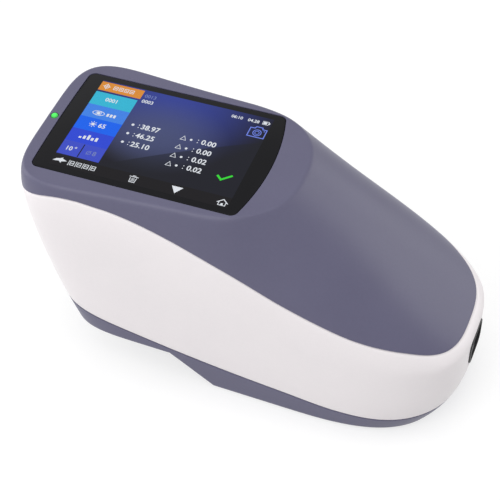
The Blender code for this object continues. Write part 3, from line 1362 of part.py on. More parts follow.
def optical_bench():
    """closed box with fold mirror, slit, concave grating and line detector"""
    bottom = CHASSIS_HEIGHT + CHASSIS_THICKNESS + FIT_GAP
    floor = bottom + BENCH_WALL
    outline = rounded_rectangle(BENCH_LENGTH, BENCH_WIDTH, BENCH_CORNER)
    made = plate("optical_bench", outline, BENCH_HEIGHT, (BENCH_X, 0.0, bottom), "black_plastic")
    length = BENCH_LENGTH - 2 * BENCH_WALL
    width = BENCH_WIDTH - 2 * BENCH_WALL
    inside = rounded_rectangle(length, width, BENCH_CORNER - BENCH_WALL)
    cut(made, plate("bench_cutter", inside, BENCH_HEIGHT, (BENCH_X, 0.0, floor)))

    beam = floor + BEAM_RISE
    reach = MIRROR_SIDE / 2 / math.sqrt(2)
    back = MIRROR_THICKNESS * math.sqrt(2) + FIT_GAP
    left = BEAM_X + MIRROR_SHIFT - 2 * reach - back - 2 * BENCH_WALL
    middle = BEAM_X + MIRROR_SHIFT
    wedge = [
        (left, floor - BENCH_WALL / 2), (BEAM_X - ENTRY_RADIUS - FIT_GAP, floor - BENCH_WALL / 2),
        (BEAM_X - ENTRY_RADIUS - FIT_GAP, beam - reach - FIT_GAP), (middle - reach - back, beam - reach),
        (middle + reach - back, beam + reach), (left, beam + reach)
    ]
    fuse(made, plate("mirror_holder", wedge, MIRROR_SIDE, (0.0, MIRROR_SIDE / 2, 0.0), turn=UPRIGHT))
    low = (SLIT_X + FIT_GAP, -SLIT_SIDE / 2, floor - BENCH_WALL / 2)
    fuse(made, box("slit_wall", low, (SLIT_X + FIT_GAP + MOUNT_WALL, SLIT_SIDE / 2, beam + SLIT_SIDE / 2)))
    place = (SLIT_X, 0.0, beam)
    turn = (0.0, math.pi / 2, 0.0)
    cut(made, rod("slit_window", SLIT_OPENING, 3 * MOUNT_WALL, place, turn=turn, steps=SMALL_ROUND_STEPS))
    detector_x = SLIT_X + DETECTOR_X
    low = (
        detector_x - BOARD_THICKNESS - FIT_GAP - MOUNT_WALL, DETECTOR_Y - DETECTOR_LENGTH / 2,
        floor - BENCH_WALL / 2
    )
    high = (detector_x - BOARD_THICKNESS - FIT_GAP, DETECTOR_Y + DETECTOR_LENGTH / 2, beam)
    fuse(made, box("detector_rib", low, high))
    cut(made, rod("entry_cutter", ENTRY_RADIUS, 4 * BENCH_WALL, (BEAM_X, 0.0, bottom), steps=ROUND_STEPS))

    top = bottom + BENCH_HEIGHT
    cover = plate("bench_cover", outline, BENCH_COVER_THICKNESS, (BENCH_X, 0.0, top + FIT_GAP), "aluminium")
    lip = rounded_rectangle(length - 2 * FIT_GAP, width - 2 * FIT_GAP, BENCH_CORNER - BENCH_WALL)
    height = BENCH_COVER_LIP + BENCH_COVER_THICKNESS / 2
    fuse(cover, plate("cover_lip", lip, height, (BENCH_X, 0.0, top + FIT_GAP - BENCH_COVER_LIP)))

    mirror = block(
        "fold_mirror", (MIRROR_SIDE, MIRROR_SIDE, MIRROR_THICKNESS), (0.0, 0.0, MIRROR_THICKNESS / 2),
        "aluminium",
        frame("mirror_frame", (middle, 0.0, beam), (0.0, -math.pi / 4, 0.0))
    )
    soften(mirror, GLASS_EDGE)
    half = SLIT_SIDE / 2
    low = (SLIT_X - SLIT_LENGTH, -half, beam - half)
    slit = box("slit_plate", low, (SLIT_X, half, beam + half), "steel")
    size = (3 * SLIT_LENGTH, SLIT_WIDTH, SLIT_OPENING)
    cut(slit, block("slit_cutter", size, (SLIT_X, 0.0, beam)))

    half = GRATING_SIDE / 2
    face = GRATING_X
    back = face + GRATING_THICKNESS
    grating = box("grating", (face, -half, beam - half), (back, half, beam + half), "grating_gold")
    hollow = GRATING_CURVE - math.sqrt(GRATING_CURVE**2 - half**2)
    place = (face + hollow - GRATING_CURVE, 0.0, beam)
    cut(grating, rod("grating_cutter", GRATING_CURVE, 2 * GRATING_SIDE, place, steps=4 * ROUND_STEPS))
    wide = half + FIT_GAP
    low = (face - FIT_GAP, -wide - MOUNT_WALL, floor + FIT_GAP)
    high = (back + FIT_GAP + MOUNT_WALL, wide + MOUNT_WALL, beam + half)
    mount = box("grating_mount", low, high, "black_plastic")
    low = (face - OVERRUN, -wide, beam - wide)
    cut(mount, box("mount_cutter", low, (back + FIT_GAP, wide, beam + half + OVERRUN)))

    low = (detector_x - BOARD_THICKNESS, DETECTOR_Y - DETECTOR_BOARD_LENGTH / 2, floor + FIT_GAP)
    high = (detector_x, DETECTOR_Y + DETECTOR_BOARD_LENGTH / 2, floor + FIT_GAP + DETECTOR_BOARD_HEIGHT)
    box("detector_board", low, high, "circuit_board")
    start = detector_x + FIT_GAP
    low = (start, DETECTOR_Y - DETECTOR_LENGTH / 2, beam - DETECTOR_HEIGHT / 2)
    high = (start + DETECTOR_DEPTH, DETECTOR_Y + DETECTOR_LENGTH / 2, beam + DETECTOR_HEIGHT / 2)
    detector = box("detector", low, high, "black_plastic")
    low = (start + DETECTOR_DEPTH / 2, low[1] + DETECTOR_DEPTH, beam - DETECTOR_HEIGHT / 4)
    high = (start + 2 * DETECTOR_DEPTH, high[1] - DETECTOR_DEPTH, beam + DETECTOR_HEIGHT / 4)
    cut(detector, box("detector_window", low, high))


# Battery in the foot, its sliding door and the rubber feet
def battery_group():
    low = BATTERY_BOTTOM + BATTERY_HEIGHT / 2
    outline = rounded_rectangle(BATTERY_WIDTH, BATTERY_HEIGHT, BATTERY_HEIGHT * BATTERY_ROUND_SHARE)
    place = (BAY_X - BATTERY_LENGTH / 2, 0.0, low)
    pack = plate("battery_pack", outline, BATTERY_LENGTH, place, "battery_wrap", turn=ACROSS)
    soften(pack, RING_EDGE)
    end = BAY_X + BATTERY_LENGTH / 2
    for place in FINGER_PLACES:
        y = place * FINGER_SPREAD
        corner = (end - OVERRUN, y - FINGER_WIDTH / 2, low - FINGER_HEIGHT / 2)
        fuse(pack, box("terminal", corner, (end + FIT_GAP, y + FINGER_WIDTH / 2, low + FINGER_HEIGHT / 2)))

    stop = BAY_NOSE - FIT_GAP
    corner = (stop - CONTACT_THICKNESS, -CONTACT_WIDTH / 2, low - CONTACT_HEIGHT / 2)
    contacts = box(
        "battery_contacts", corner, (stop, CONTACT_WIDTH / 2, low + CONTACT_HEIGHT / 2), "black_plastic"
    )
    for place in FINGER_PLACES:
        y = place * FINGER_SPREAD
        corner = (stop - CONTACT_THICKNESS - FINGER_REACH, y - FINGER_WIDTH / 2, low - FINGER_HEIGHT / 2)
        high = (stop - CONTACT_THICKNESS / 2, y + FINGER_WIDTH / 2, low + FINGER_HEIGHT / 2)
        fuse(contacts, box("finger", corner, high))

    section = [
        (STEP_FRONT, FOOT_PROUD), (DOOR_END, FOOT_PROUD), (DOOR_END, DOOR_TOP), (DOOR_TAIL, DOOR_TOP)
    ]
    width = 2 * DOOR_HALF_WIDTH
    door = plate("battery_door", section, width, (0.0, DOOR_HALF_WIDTH, 0.0), "dark_shell", turn=UPRIGHT)
    corner = (DOOR_END - OVERRUN, -TAB_WIDTH / 2, DOOR_TOP - TAB_THICKNESS)
    fuse(door, box("tongue", corner, (DOOR_END + TAB_LENGTH, TAB_WIDTH / 2, DOOR_TOP - RING_EDGE / 4)))
    for x, y in hook_places():
        corner = (x - HOOK_LENGTH / 2, y - HOOK_THICKNESS / 2, DOOR_TOP - DOOR_THICKNESS / 2)
        tip = LEDGE_TOP + FIT_GAP + HOOK_HEIGHT
        fuse(door, box("hook", corner, (x + HOOK_LENGTH / 2, y + HOOK_THICKNESS / 2, tip)))
        corner = (x, y - HOOK_THICKNESS / 2, LEDGE_TOP + FIT_GAP)
        fuse(door, box("hook_lip", corner, (x + HOOK_LENGTH / 2 + HOOK_LIP, y + HOOK_THICKNESS / 2, tip)))
    for number in range(DOOR_GRIP_COUNT):
        x = STEP_FRONT + (number + 2) * DOOR_GRIP_PITCH
        size = (DOOR_GRIP_BAR, DOOR_GRIP_WIDTH, 2 * DOOR_GRIP_DEPTH)
        cut(door, block("grip_cutter", size, (x, 0.0, FOOT_PROUD)))

    for number, (x, y) in enumerate(pad_places()):
        profile = [
            (0.0, PAD_THICKNESS), (PAD_RADIUS, PAD_THICKNESS), (PAD_RADIUS, PAD_EDGE), (
                PAD_RADIUS - PAD_EDGE, 0.0
            ),
            (0.0, 0.0)
        ]
        turned(f"rubber_foot_{number + 1}", profile, (x, y, 0.0), "rubber", closed=False, steps=ROUND_STEPS)


# Connector panel, socket and switch in the nose
def port_group():
    """framed panel with a charging socket and a slide switch, and the board behind"""
    front = HALF_LENGTH + PANEL_PROUD
    floor = front - PANEL_SUNK
    floor_back = floor - PANEL_FLOOR
    back = HALF_LENGTH - WALL - PANEL_CURVE - PANEL_FLANGE_THICKNESS
    outline = rounded_rectangle(PANEL_WIDTH, PANEL_HEIGHT, PANEL_CORNER)
    panel = plate("port_panel", outline, front - back, (back, 0.0, PANEL_Z), "black_plastic", turn=ACROSS)
    soften(panel, GLASS_EDGE)
    height = PANEL_HEIGHT + 2 * (PANEL_FLANGE - PANEL_FLANGE_DROP)
    outline = rounded_rectangle(PANEL_WIDTH + 2 * PANEL_FLANGE, height, PANEL_CORNER + PANEL_FLANGE)
    place = (back, 0.0, PANEL_Z - PANEL_FLANGE_DROP)
    fuse(panel, plate("panel_flange", outline, PANEL_FLANGE_THICKNESS, place, turn=ACROSS))
    shrunk = 2 * PANEL_RIM
    outline = rounded_rectangle(PANEL_WIDTH - shrunk, PANEL_HEIGHT - shrunk, PANEL_CORNER - PANEL_RIM)
    cut(panel, plate("front_cutter", outline, 2 * PANEL_SUNK, (floor, 0.0, PANEL_Z), turn=ACROSS))
    cut(
        panel,
        plate("back_cutter", outline, PANEL_DEPTH, (floor_back - PANEL_DEPTH, 0.0, PANEL_Z), turn=ACROSS)
    )
    socket_z = PANEL_Z + SOCKET_RISE
    outline = rounded_rectangle(
        SOCKET_WIDTH + 2 * FIT_GAP, SOCKET_HEIGHT + 2 * FIT_GAP, SOCKET_HEIGHT / 2 + FIT_GAP
    )
    cut(panel, plate(
        "socket_cutter", outline, 4 * PANEL_FLOOR, (floor_back - PANEL_FLOOR, 0.0, socket_z), turn=ACROSS
    ))
    switch_z = PANEL_Z - SWITCH_DROP
    outline = rounded_rectangle(SWITCH_SLOT_WIDTH, SWITCH_SLOT_HEIGHT, SWITCH_SLOT_HEIGHT / 4)
    cut(panel, plate(
        "switch_cutter", outline, 4 * PANEL_FLOOR, (floor_back - PANEL_FLOOR, 0.0, switch_z), turn=ACROSS
    ))

    start = floor - RING_EDGE / 2 - SOCKET_DEPTH
    outline = rounded_rectangle(SOCKET_WIDTH, SOCKET_HEIGHT, SOCKET_HEIGHT * PILL_SHARE)
    socket = plate("usb_socket", outline, SOCKET_DEPTH, (start, 0.0, socket_z), "steel", turn=ACROSS)
    inner = SOCKET_HEIGHT - 2 * SOCKET_WALL
    outline = rounded_rectangle(SOCKET_WIDTH - 2 * SOCKET_WALL, inner, inner * PILL_SHARE)
    cut(
        socket,
        plate("bore_cutter", outline, SOCKET_DEPTH, (start + BOARD_THICKNESS, 0.0, socket_z), turn=ACROSS)
    )
    half = SOCKET_WIDTH / 2 - 2 * SOCKET_WALL - TONGUE_HEIGHT / 2
    low = (start + BOARD_THICKNESS / 2, -half, socket_z - TONGUE_HEIGHT / 2)
    fuse(
        socket,
        box("tongue", low, (start + SOCKET_DEPTH - TONGUE_HEIGHT, half, socket_z + TONGUE_HEIGHT / 2))
    )

    middle = -SWITCH_TRAVEL / 2
    plate_front = floor_back - FIT_GAP
    low = (
        plate_front - SLIDER_THICKNESS / 2, middle - SWITCH_KNOB_WIDTH / 2,
        switch_z - SWITCH_KNOB_HEIGHT / 2
    )
    high = (floor + SWITCH_REACH, middle + SWITCH_KNOB_WIDTH / 2, switch_z + SWITCH_KNOB_HEIGHT / 2)
    knob = box("power_switch", low, high, "black_plastic")
    soften(knob, GLASS_EDGE)
    low = (plate_front - SLIDER_THICKNESS, middle - SLIDER_WIDTH / 2, switch_z - SWITCH_BODY_HEIGHT / 2)
    fuse(
        knob,
        box("slider", low, (plate_front, middle + SLIDER_WIDTH / 2, switch_z + SWITCH_BODY_HEIGHT / 2))
    )
    for side in (-1, 1):
        y = middle + side * SWITCH_KNOB_WIDTH / 4
        size = (SWITCH_REACH, SWITCH_KNOB_WIDTH / 8, SWITCH_KNOB_HEIGHT / 2)
        cut(knob, block("knob_groove", size, (floor + SWITCH_REACH, y, switch_z)))
    stop = plate_front - SLIDER_THICKNESS - FIT_GAP
    board_front = start - FIT_GAP
    low = (board_front + FIT_GAP, -SWITCH_BODY_WIDTH / 2, switch_z - SWITCH_BODY_HEIGHT / 2)
    high = (stop, SWITCH_BODY_WIDTH / 2, switch_z + SWITCH_BODY_HEIGHT / 2)
    box("switch_body", low, high, "black_plastic", bevel=GLASS_EDGE)

    board_back = board_front - PORT_BOARD_THICKNESS
    low = (board_back, -PORT_BOARD_WIDTH / 2, PANEL_Z - PORT_BOARD_LENGTH / 2)
    board = box(
        "interface_board", low, (board_front, PORT_BOARD_WIDTH / 2, PANEL_Z + PORT_BOARD_LENGTH / 2),
        "circuit_board"
    )
    low = (board_back - CHIP_HEIGHT, -CONNECTOR_LENGTH / 2, PANEL_Z + CONNECTOR_WIDTH / 2)
    high = (board_back + PORT_BOARD_THICKNESS / 2, CONNECTOR_LENGTH / 2, PANEL_Z + 3 * CONNECTOR_WIDTH / 2)
    fuse(board, box("connector", low, high))
    way = [(x * HALF_LENGTH, z * PLATFORM_HEIGHT) for x, z in INTERFACE_WAY_SHARES]
    ribbon("interface_cable", way, CABLE_WIDTH)


# Measuring key in the far side
def key_group():
    """long push key through the white band, and the board with its tactile switch"""
    outline = rounded_rectangle(KEY_LENGTH, KEY_HEIGHT, KEY_HEIGHT * PILL_SHARE)
    inner = HALF_WIDTH - WALL - FIT_GAP
    face = HALF_WIDTH + KEY_PROUD
    thickness = face - inner + KEY_FLANGE_THICKNESS / 2
    key = plate("measure_button", outline, thickness, (KEY_X, face, KEY_Z), "dark_shell", turn=UPRIGHT)
    soften(key, RING_EDGE)
    length = KEY_LENGTH + 2 * KEY_FLANGE
    height = KEY_HEIGHT + 2 * KEY_FLANGE
    outline = rounded_rectangle(length, height, height * PILL_SHARE)
    fuse(key, plate("key_flange", outline, KEY_FLANGE_THICKNESS, (KEY_X, inner, KEY_Z), turn=UPRIGHT))
    stem_end = inner - KEY_FLANGE_THICKNESS - KEY_STEM_LENGTH
    length = KEY_STEM_LENGTH + KEY_FLANGE_THICKNESS / 2
    place = (KEY_X, stem_end + length / 2, KEY_Z)
    fuse(key, rod("key_stem", KEY_STEM_RADIUS, length, place, turn=UPRIGHT, steps=SMALL_ROUND_STEPS))

    low = (KEY_X - KEY_BOARD_LENGTH / 2, KEY_BOARD_TOP - KEY_BOARD_THICKNESS, KEY_Z - KEY_BOARD_HEIGHT / 2)
    high = (KEY_X + KEY_BOARD_LENGTH / 2, KEY_BOARD_TOP, KEY_Z + KEY_BOARD_HEIGHT / 2)
    board = box("button_board", low, high, "circuit_board")
    half = KEY_SWITCH_SIDE / 2
    body_top = KEY_BOARD_TOP + KEY_SWITCH_HEIGHT * KEY_SWITCH_BODY_SHARE
    low = (KEY_X - half, KEY_BOARD_TOP - KEY_BOARD_THICKNESS / 2, KEY_Z - half)
    fuse(board, box("tact_switch", low, (KEY_X + half, body_top, KEY_Z + half)))
    place = (KEY_X, KEY_BOARD_TOP + KEY_SWITCH_HEIGHT / 2, KEY_Z)
    plunger = rod(
        "plunger", KEY_STEM_RADIUS, KEY_SWITCH_HEIGHT, place, turn=UPRIGHT, steps=SMALL_ROUND_STEPS
    )
    fuse(board, plunger)


top_cover()
middle_shell()
base_cover()
screen_stack()
sphere_group()
chassis()
optical_bench()
battery_group()
port_group()
key_group()
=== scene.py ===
# %% [markdown]
# # Portable grating spectrophotometer
#
# The real object is a colour measuring instrument: a dark cover with a screen on its tall end, a white
# band, and a dark tray that stands on the table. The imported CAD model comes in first. Its inner pieces
# keep their meshes and get finishes, and the outer skins are made again here with more detail.

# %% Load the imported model
import json
import math

import bmesh
import bpy
from mathutils import Matrix, Vector

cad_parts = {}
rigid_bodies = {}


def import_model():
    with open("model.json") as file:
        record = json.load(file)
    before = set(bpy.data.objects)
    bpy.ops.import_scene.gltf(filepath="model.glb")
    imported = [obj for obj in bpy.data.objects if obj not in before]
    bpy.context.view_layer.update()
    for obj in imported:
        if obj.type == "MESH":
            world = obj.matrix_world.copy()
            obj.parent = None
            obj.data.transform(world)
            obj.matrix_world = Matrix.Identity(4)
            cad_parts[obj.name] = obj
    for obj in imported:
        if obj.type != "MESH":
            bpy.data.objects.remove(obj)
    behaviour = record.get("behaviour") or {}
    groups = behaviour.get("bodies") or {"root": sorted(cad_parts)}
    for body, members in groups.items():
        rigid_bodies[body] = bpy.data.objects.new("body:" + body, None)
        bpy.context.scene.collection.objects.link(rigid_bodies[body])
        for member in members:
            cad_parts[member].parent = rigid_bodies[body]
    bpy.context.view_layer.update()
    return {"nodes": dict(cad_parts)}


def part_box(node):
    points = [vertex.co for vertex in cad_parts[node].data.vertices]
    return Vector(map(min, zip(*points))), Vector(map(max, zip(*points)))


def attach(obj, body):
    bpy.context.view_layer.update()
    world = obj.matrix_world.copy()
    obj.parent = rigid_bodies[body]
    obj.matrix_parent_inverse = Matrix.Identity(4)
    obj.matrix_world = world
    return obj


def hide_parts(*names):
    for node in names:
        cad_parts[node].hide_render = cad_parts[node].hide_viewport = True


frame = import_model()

# %% [markdown]
# ## Camera
#
# A photograph fixes where the camera stood. A fit of the outline, the seams and the screen gave its
# place, the point that it looks at and a slight roll. The long lens keeps the sides nearly parallel.

# %% Camera
camera_data = bpy.data.cameras.new("photo_camera")
camera_data.lens = 104.4
camera_data.sensor_width = 36.0
camera = bpy.data.objects.new("photo_camera", camera_data)
bpy.context.scene.collection.objects.link(camera)
camera_right = Vector((0.930083, 0.366604, -0.023388))
camera_up = Vector((-0.266094, 0.716243, 0.645128))
camera_back = camera_right.cross(camera_up)
turn = Matrix((camera_right, camera_up, camera_back)).transposed().to_4x4()
camera.matrix_world = Matrix.Translation((0.14573, -0.35427, 0.50564)) @ turn
bpy.context.scene.camera = camera
print("camera stands", round(camera.location.length, 3), "m from the object")

# %% [markdown]
# ## Shape of the housing
#
# All three skins follow one hull. Seen from above it is a long oval: each end is a superellipse, which
# is an ellipse with squarer shoulders. The walls lean out a little as they rise, most at the tall end.
# A few functions give this outline at any height, so every skin is cut from the same form.

# %% Outline of the hull at any height
HALF_LENGTH = 0.092
HALF_WIDTH = 0.0385
WALL = 0.0022
NOSE_ROUND = 0.0595
TAIL_ROUND = 0.0423
NOSE_POWER = 2.875
TAIL_POWER = 4.76
SIDE_FLARE = (0.0013, 0.040, 2)
NOSE_FLARE = (0.0093, 0.028, 2)
TAIL_FLARE = (0.0218, 0.0885, 1.6)


def clamp(value):
    return max(0.0, min(1.0, value))


def drawn_in(flare, height):
    """how far a flare (its reach, its height and its power) draws the wall in at a height"""
    reach, tall, power = flare
    return reach * clamp(1 - height / tall) ** power


def walls_at(height, inset):
    """half width, nose end and tail end of the outline at a height"""
    half_width = HALF_WIDTH - drawn_in(SIDE_FLARE, height) - inset
    nose = HALF_LENGTH - drawn_in(NOSE_FLARE, height) - inset
    return half_width, nose, drawn_in(TAIL_FLARE, height) - HALF_LENGTH + inset


def outline_point(station, walls, inset):
    """stations run from 0 to 1 round the tall end, to 2 along the side and to 3 round the nose"""
    half_width, nose, tail = walls
    nose_round = NOSE_ROUND - inset
    tail_round = TAIL_ROUND - inset
    if station <= 1:
        angle = station * math.pi / 2
        x = tail + tail_round * (1 - max(math.cos(angle), 0.0) ** (2 / TAIL_POWER))
        return x, half_width * math.sin(angle) ** (2 / TAIL_POWER)
    if station <= 2:
        return tail + tail_round + (nose - nose_round - tail - tail_round) * (station - 1), half_width
    angle = (station - 2) * math.pi / 2
    x = nose - nose_round + nose_round * math.sin(angle) ** (2 / NOSE_POWER)
    return x, half_width * max(math.cos(angle), 0.0) ** (2 / NOSE_POWER)


print("nose end at table height", round(walls_at(0.0, 0.0)[1] * 1000, 1), "mm")

# %% [markdown]
# The top is a crown that rises from the walls. A tilted plane cuts it off for the screen, and where
# plane and crown meet there is a crease: soft at the tall end, crisp above the slope. A soft minimum
# of the two heights rounds that crease by a chosen amount.

# %% Heights of the hull
SCREEN_X = -0.0409
PLATFORM_HEIGHT = 0.1011
PLATFORM_TILT = math.radians(2.1)
FOOT = 0.0004
STEP_FRONT = -0.0085
STEP_BACK = -0.0271
RAISE = 0.0152
TAIL_SHOULDER, MIDDLE_SHOULDER, NOSE_SHOULDER = 0.0899, 0.0481, 0.0415
SLOPE_START = 0.0185
SLOPE_LIFT = 0.0055
SLOPE_ANGLE = math.radians(38.75)
CROWN_RISE = 0.0213
CROWN_SOFTNESS = 0.008
CROWN_POWER = 2.558
CRISP_EDGE, EXTRA_SOFTNESS, SOFT_EDGE_END = 0.0006, 0.0024, 0.010


def soft_minimum(first, second, softness):
    overlap = max(softness - abs(first - second), 0.0)
    return min(first, second) - overlap * overlap / (4 * softness)


def plane_height(x):
    return PLATFORM_HEIGHT + math.tan(PLATFORM_TILT) * (x - SCREEN_X)


def shoulder_height(x):
    """where the upright wall starts to curve in"""
    place = x / HALF_LENGTH
    ends = (TAIL_SHOULDER + NOSE_SHOULDER) / 2 - MIDDLE_SHOULDER
    return MIDDLE_SHOULDER + (NOSE_SHOULDER - TAIL_SHOULDER) / 2 * place + ends * place * place


def crown_height(x, y, inset):
    """the crowned cover before the platform is cut into it"""
    run = x - SLOPE_START
    lift = SLOPE_LIFT * (max(run, 0.0) / (HALF_LENGTH - SLOPE_START)) ** 2
    slope = plane_height(SLOPE_START) - math.tan(SLOPE_ANGLE) * run + lift - inset / math.cos(SLOPE_ANGLE)
    spine = soft_minimum(slope, plane_height(x) + CROWN_RISE - inset, CROWN_SOFTNESS)
    nose_run = max(x - (HALF_LENGTH - NOSE_ROUND), 0.0) / (NOSE_ROUND - inset)
    tail_run = max((TAIL_ROUND - HALF_LENGTH) - x, 0.0) / (TAIL_ROUND - inset)
    power = NOSE_POWER if nose_run > 0 else TAIL_POWER
    gauge = ((nose_run + tail_run) ** power + (abs(y) / (HALF_WIDTH - inset)) ** power) ** (1 / power)
    rise = max(spine - shoulder_height(x), 0.0)
    return shoulder_height(x) + rise * max(1 - gauge**CROWN_POWER, 0.0) ** (1 / CROWN_POWER)


def edge_softness(x):
    """soft at the tall end, crisp over the slope"""
    part = clamp((SOFT_EDGE_END - x) / (2 * SOFT_EDGE_END))
    return CRISP_EDGE + EXTRA_SOFTNESS * part * part * (3 - 2 * part)


def top_height(x, y, inset):
    return soft_minimum(plane_height(x) - inset, crown_height(x, y, inset), edge_softness(x))


def underside_height(x):
    """the foot carries the nose half, and the tall end is raised behind a slanted step"""
    return FOOT + RAISE * clamp((STEP_FRONT - x) / (STEP_FRONT - STEP_BACK))


print("crown 60 mm behind the nose:", round(top_height(0.032, 0.0, 0.0) * 1000, 1), "mm")

# %% [markdown]
# A skin is drawn like the ribs of a boat. From each station a line runs down the hull: from the edge of
# the platform over the shoulder and the wall to the bottom. The two seams are heights in a small table,
# and a halving search finds where each line crosses them, so the seams flow along the true surface.

# %% Lines down the hull and the seams across them
SEAM_GAP = 0.0004
BOTTOM_EDGE = 0.0016
UPPER_SEAM = (0.886, 0.941, 0.926, 0.867, 0.778, 0.673, 0.592, 0.528, 0.447)
LOWER_SEAM = (0.331, 0.277, 0.231, 0.189, 0.155, 0.130, 0.105, 0.097, 0.135)


def halving(low, high, is_past, rounds=34):
    for _ in range(rounds):
        middle = (low + high) / 2
        low, high = (low, middle) if is_past(middle) else (middle, high)
    return (low + high) / 2


def seam_height(shares, x):
    """a smooth curve through the shares of the platform height"""
    last = len(shares) - 1
    place = clamp((x + HALF_LENGTH) / (2 * HALF_LENGTH)) * last
    index = min(int(place), last - 1)
    part = place - index
    start, end = shares[index], shares[index + 1]
    start_slope = (end - shares[max(index - 1, 0)]) / 2
    end_slope = (shares[min(index + 2, last)] - start) / 2
    share = (2 * part**3 - 3 * part**2 + 1) * start + (part**3 - 2 * part**2 + part) * start_slope
    share += (3 * part**2 - 2 * part**3) * end + (part**3 - part**2) * end_slope
    return share * PLATFORM_HEIGHT


class HullLine:
    """one line down the near side: way -1 to 0 is the crease, 1 the shoulder, 2 the wall's end, 3 the bottom"""

    def __init__(self, station, inset=0.0):
        self.station, self.inset = station, inset
        self.top = self.point(TAIL_FLARE[1])
        self.shoulder = shoulder_height(self.top[0])
        self.edge = halving(0.0, 1.0, lambda part: self.drop(part) > 0)
        self.platform = halving(0.0, 1.0, lambda part: self.drop(part) > -edge_softness(self.across(part)[0]))
        self.bottom = FOOT
        for _ in range(12):
            self.bottom = underside_height(self.point(self.bottom)[0]) + inset

    def point(self, height, drawn_in=0.0):
        inset = self.inset + drawn_in
        return outline_point(self.station, walls_at(height, inset), inset)

    def across(self, part):
        return SCREEN_X + (self.top[0] - SCREEN_X) * part, self.top[1] * part

    def drop(self, part):
        x, y = self.across(part)
        return plane_height(x) - self.inset - crown_height(x, y, self.inset)

    def at(self, way):
        if way <= 1:
            if way <= 0:
                part = self.edge + (self.edge - self.platform) * way
            else:
                part = self.edge + (1 - self.edge) * math.sin(way * math.pi / 2)
            x, y = self.across(part)
            height = plane_height(x) - self.inset if way <= -1 else top_height(x, y, self.inset)
            return Vector((x, -y, height))
        if way <= 2:
            height = self.shoulder + (self.bottom + BOTTOM_EDGE - self.shoulder) * (way - 1)
            x, y = self.point(height)
            return Vector((x, -y, height))
        angle = (way - 2) * math.pi / 2
        rise = BOTTOM_EDGE * (1 - math.sin(angle))
        x, y = self.point(self.bottom + rise, BOTTOM_EDGE * (1 - math.cos(angle)))
        return Vector((x, -y, underside_height(x) + self.inset + rise))

    def seam(self, shares, offset):
        def is_below(way):
            point = self.at(way)
            return point.z < seam_height(shares, point.x) + offset

        return halving(0.0, 2.0, is_below)


def step_station(x, height):
    walls = walls_at(height, BOTTOM_EDGE)
    return halving(0.0, 3.0, lambda station: outline_point(station, walls, BOTTOM_EDGE)[0] > x)


steps = [step_station(STEP_BACK, FOOT + RAISE), step_station(STEP_FRONT, FOOT)]
even = [number / 26 for number in range(26)] + [1 + number / 18 for number in range(18)]
even += [2 + number / 44 for number in range(45)]
stations = sorted([station for station in even if min(abs(station - step) for step in steps) > 0.012] + steps)
outside = [HullLine(station) for station in stations]
inside = [HullLine(station, WALL) for station in stations]
print(len(stations), "stations round half the hull")

# %% [markdown]
# ## From lines to a skin
#
# A ring joins the points at one level of all lines with their mirror image. Bridging ring to ring lays
# faces between them, first down the outer face, then up the inner one, which gives a moulded wall its
# true thickness. Bevelled seam edges catch the light as thin bright lines, as on the real mouldings.

# %% Helpers for skins and for finished pieces
def ring_of(shape, points):
    """closed loop through half a ring and its mirror image"""
    points = points + [Vector((point.x, -point.y, point.z)) for point in points[-2:0:-1]]
    corners = [shape.verts.new(point) for point in points]
    return [shape.edges.new(pair) for pair in zip(corners, corners[1:] + corners[:1])]


def levels(lines, start, end, count, bias=1.0):
    """half rings between two ways, closer together at the start where the bias is above 1"""
    ways = [(start(line), end(line)) for line in lines]
    shares = [(number / count) ** bias for number in range(count + 1)]
    return [[line.at(low + (high - low) * share) for line, (low, high) in zip(lines, ways)] for share in shares]


def finished(name, shape, body, node=None, finish=None, smooth=35.0):
    """turns a bmesh into a piece that rides on a body and may stand for a CAD node"""
    bmesh.ops.recalc_face_normals(shape, faces=shape.faces)
    mesh = bpy.data.meshes.new(name)
    shape.to_mesh(mesh)
    shape.free()
    made = bpy.data.objects.new(name, mesh)
    bpy.context.scene.collection.objects.link(made)
    mesh.shade_smooth()
    mesh.set_sharp_from_angle(angle=math.radians(smooth))
    if body:
        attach(made, body)
    if node:
        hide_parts(node)
    if finish:
        made["finish"] = finish
    return made


def skin(name, outer, inner, node, finish, lid=None, edges=(0,), edge_width=0.0003):
    """a wall from outer and inner rings; a lid closes its top or bottom, and the edges are bevelled"""
    shape = bmesh.new()
    outer_rings = [ring_of(shape, points) for points in outer]
    inner_rings = [ring_of(shape, points) for points in inner]
    rows = outer_rings + inner_rings[::-1]
    if lid == "bottom":
        rows = inner_rings[::-1] + outer_rings
    elif lid is None:
        rows.append(rows[0])
    for upper, lower in zip(rows, rows[1:]):
        bmesh.ops.bridge_loops(shape, edges=upper + lower)
    if lid == "top":
        for ring in (outer_rings[0], inner_rings[0]):
            face = bmesh.ops.contextual_create(shape, geom=ring)["faces"]
            bmesh.ops.inset_region(shape, faces=face, thickness=0.0004)
    if lid == "bottom":
        for ring in (outer_rings[-1], inner_rings[-1]):
            half = len(ring) // 2
            bmesh.ops.bridge_loops(shape, edges=ring[1:half - 1] + ring[half + 1:-1])
            ends = [edge for edge in ring if len(edge.link_faces) < 2]
            near = {corner for edge in ends for corner in edge.verts}
            ends += [edge for corner in near for edge in corner.link_edges if len(edge.link_faces) == 1]
            bmesh.ops.holes_fill(shape, edges=list(set(ends)), sides=3)
    seams = [edge for number in edges for edge in outer_rings[number]]
    bmesh.ops.bevel(
        shape, geom=seams, offset=edge_width, segments=3, profile=0.5, affect="EDGES", material=-1, clamp_overlap=True
    )
    return finished(name, shape, "housing", node, finish)


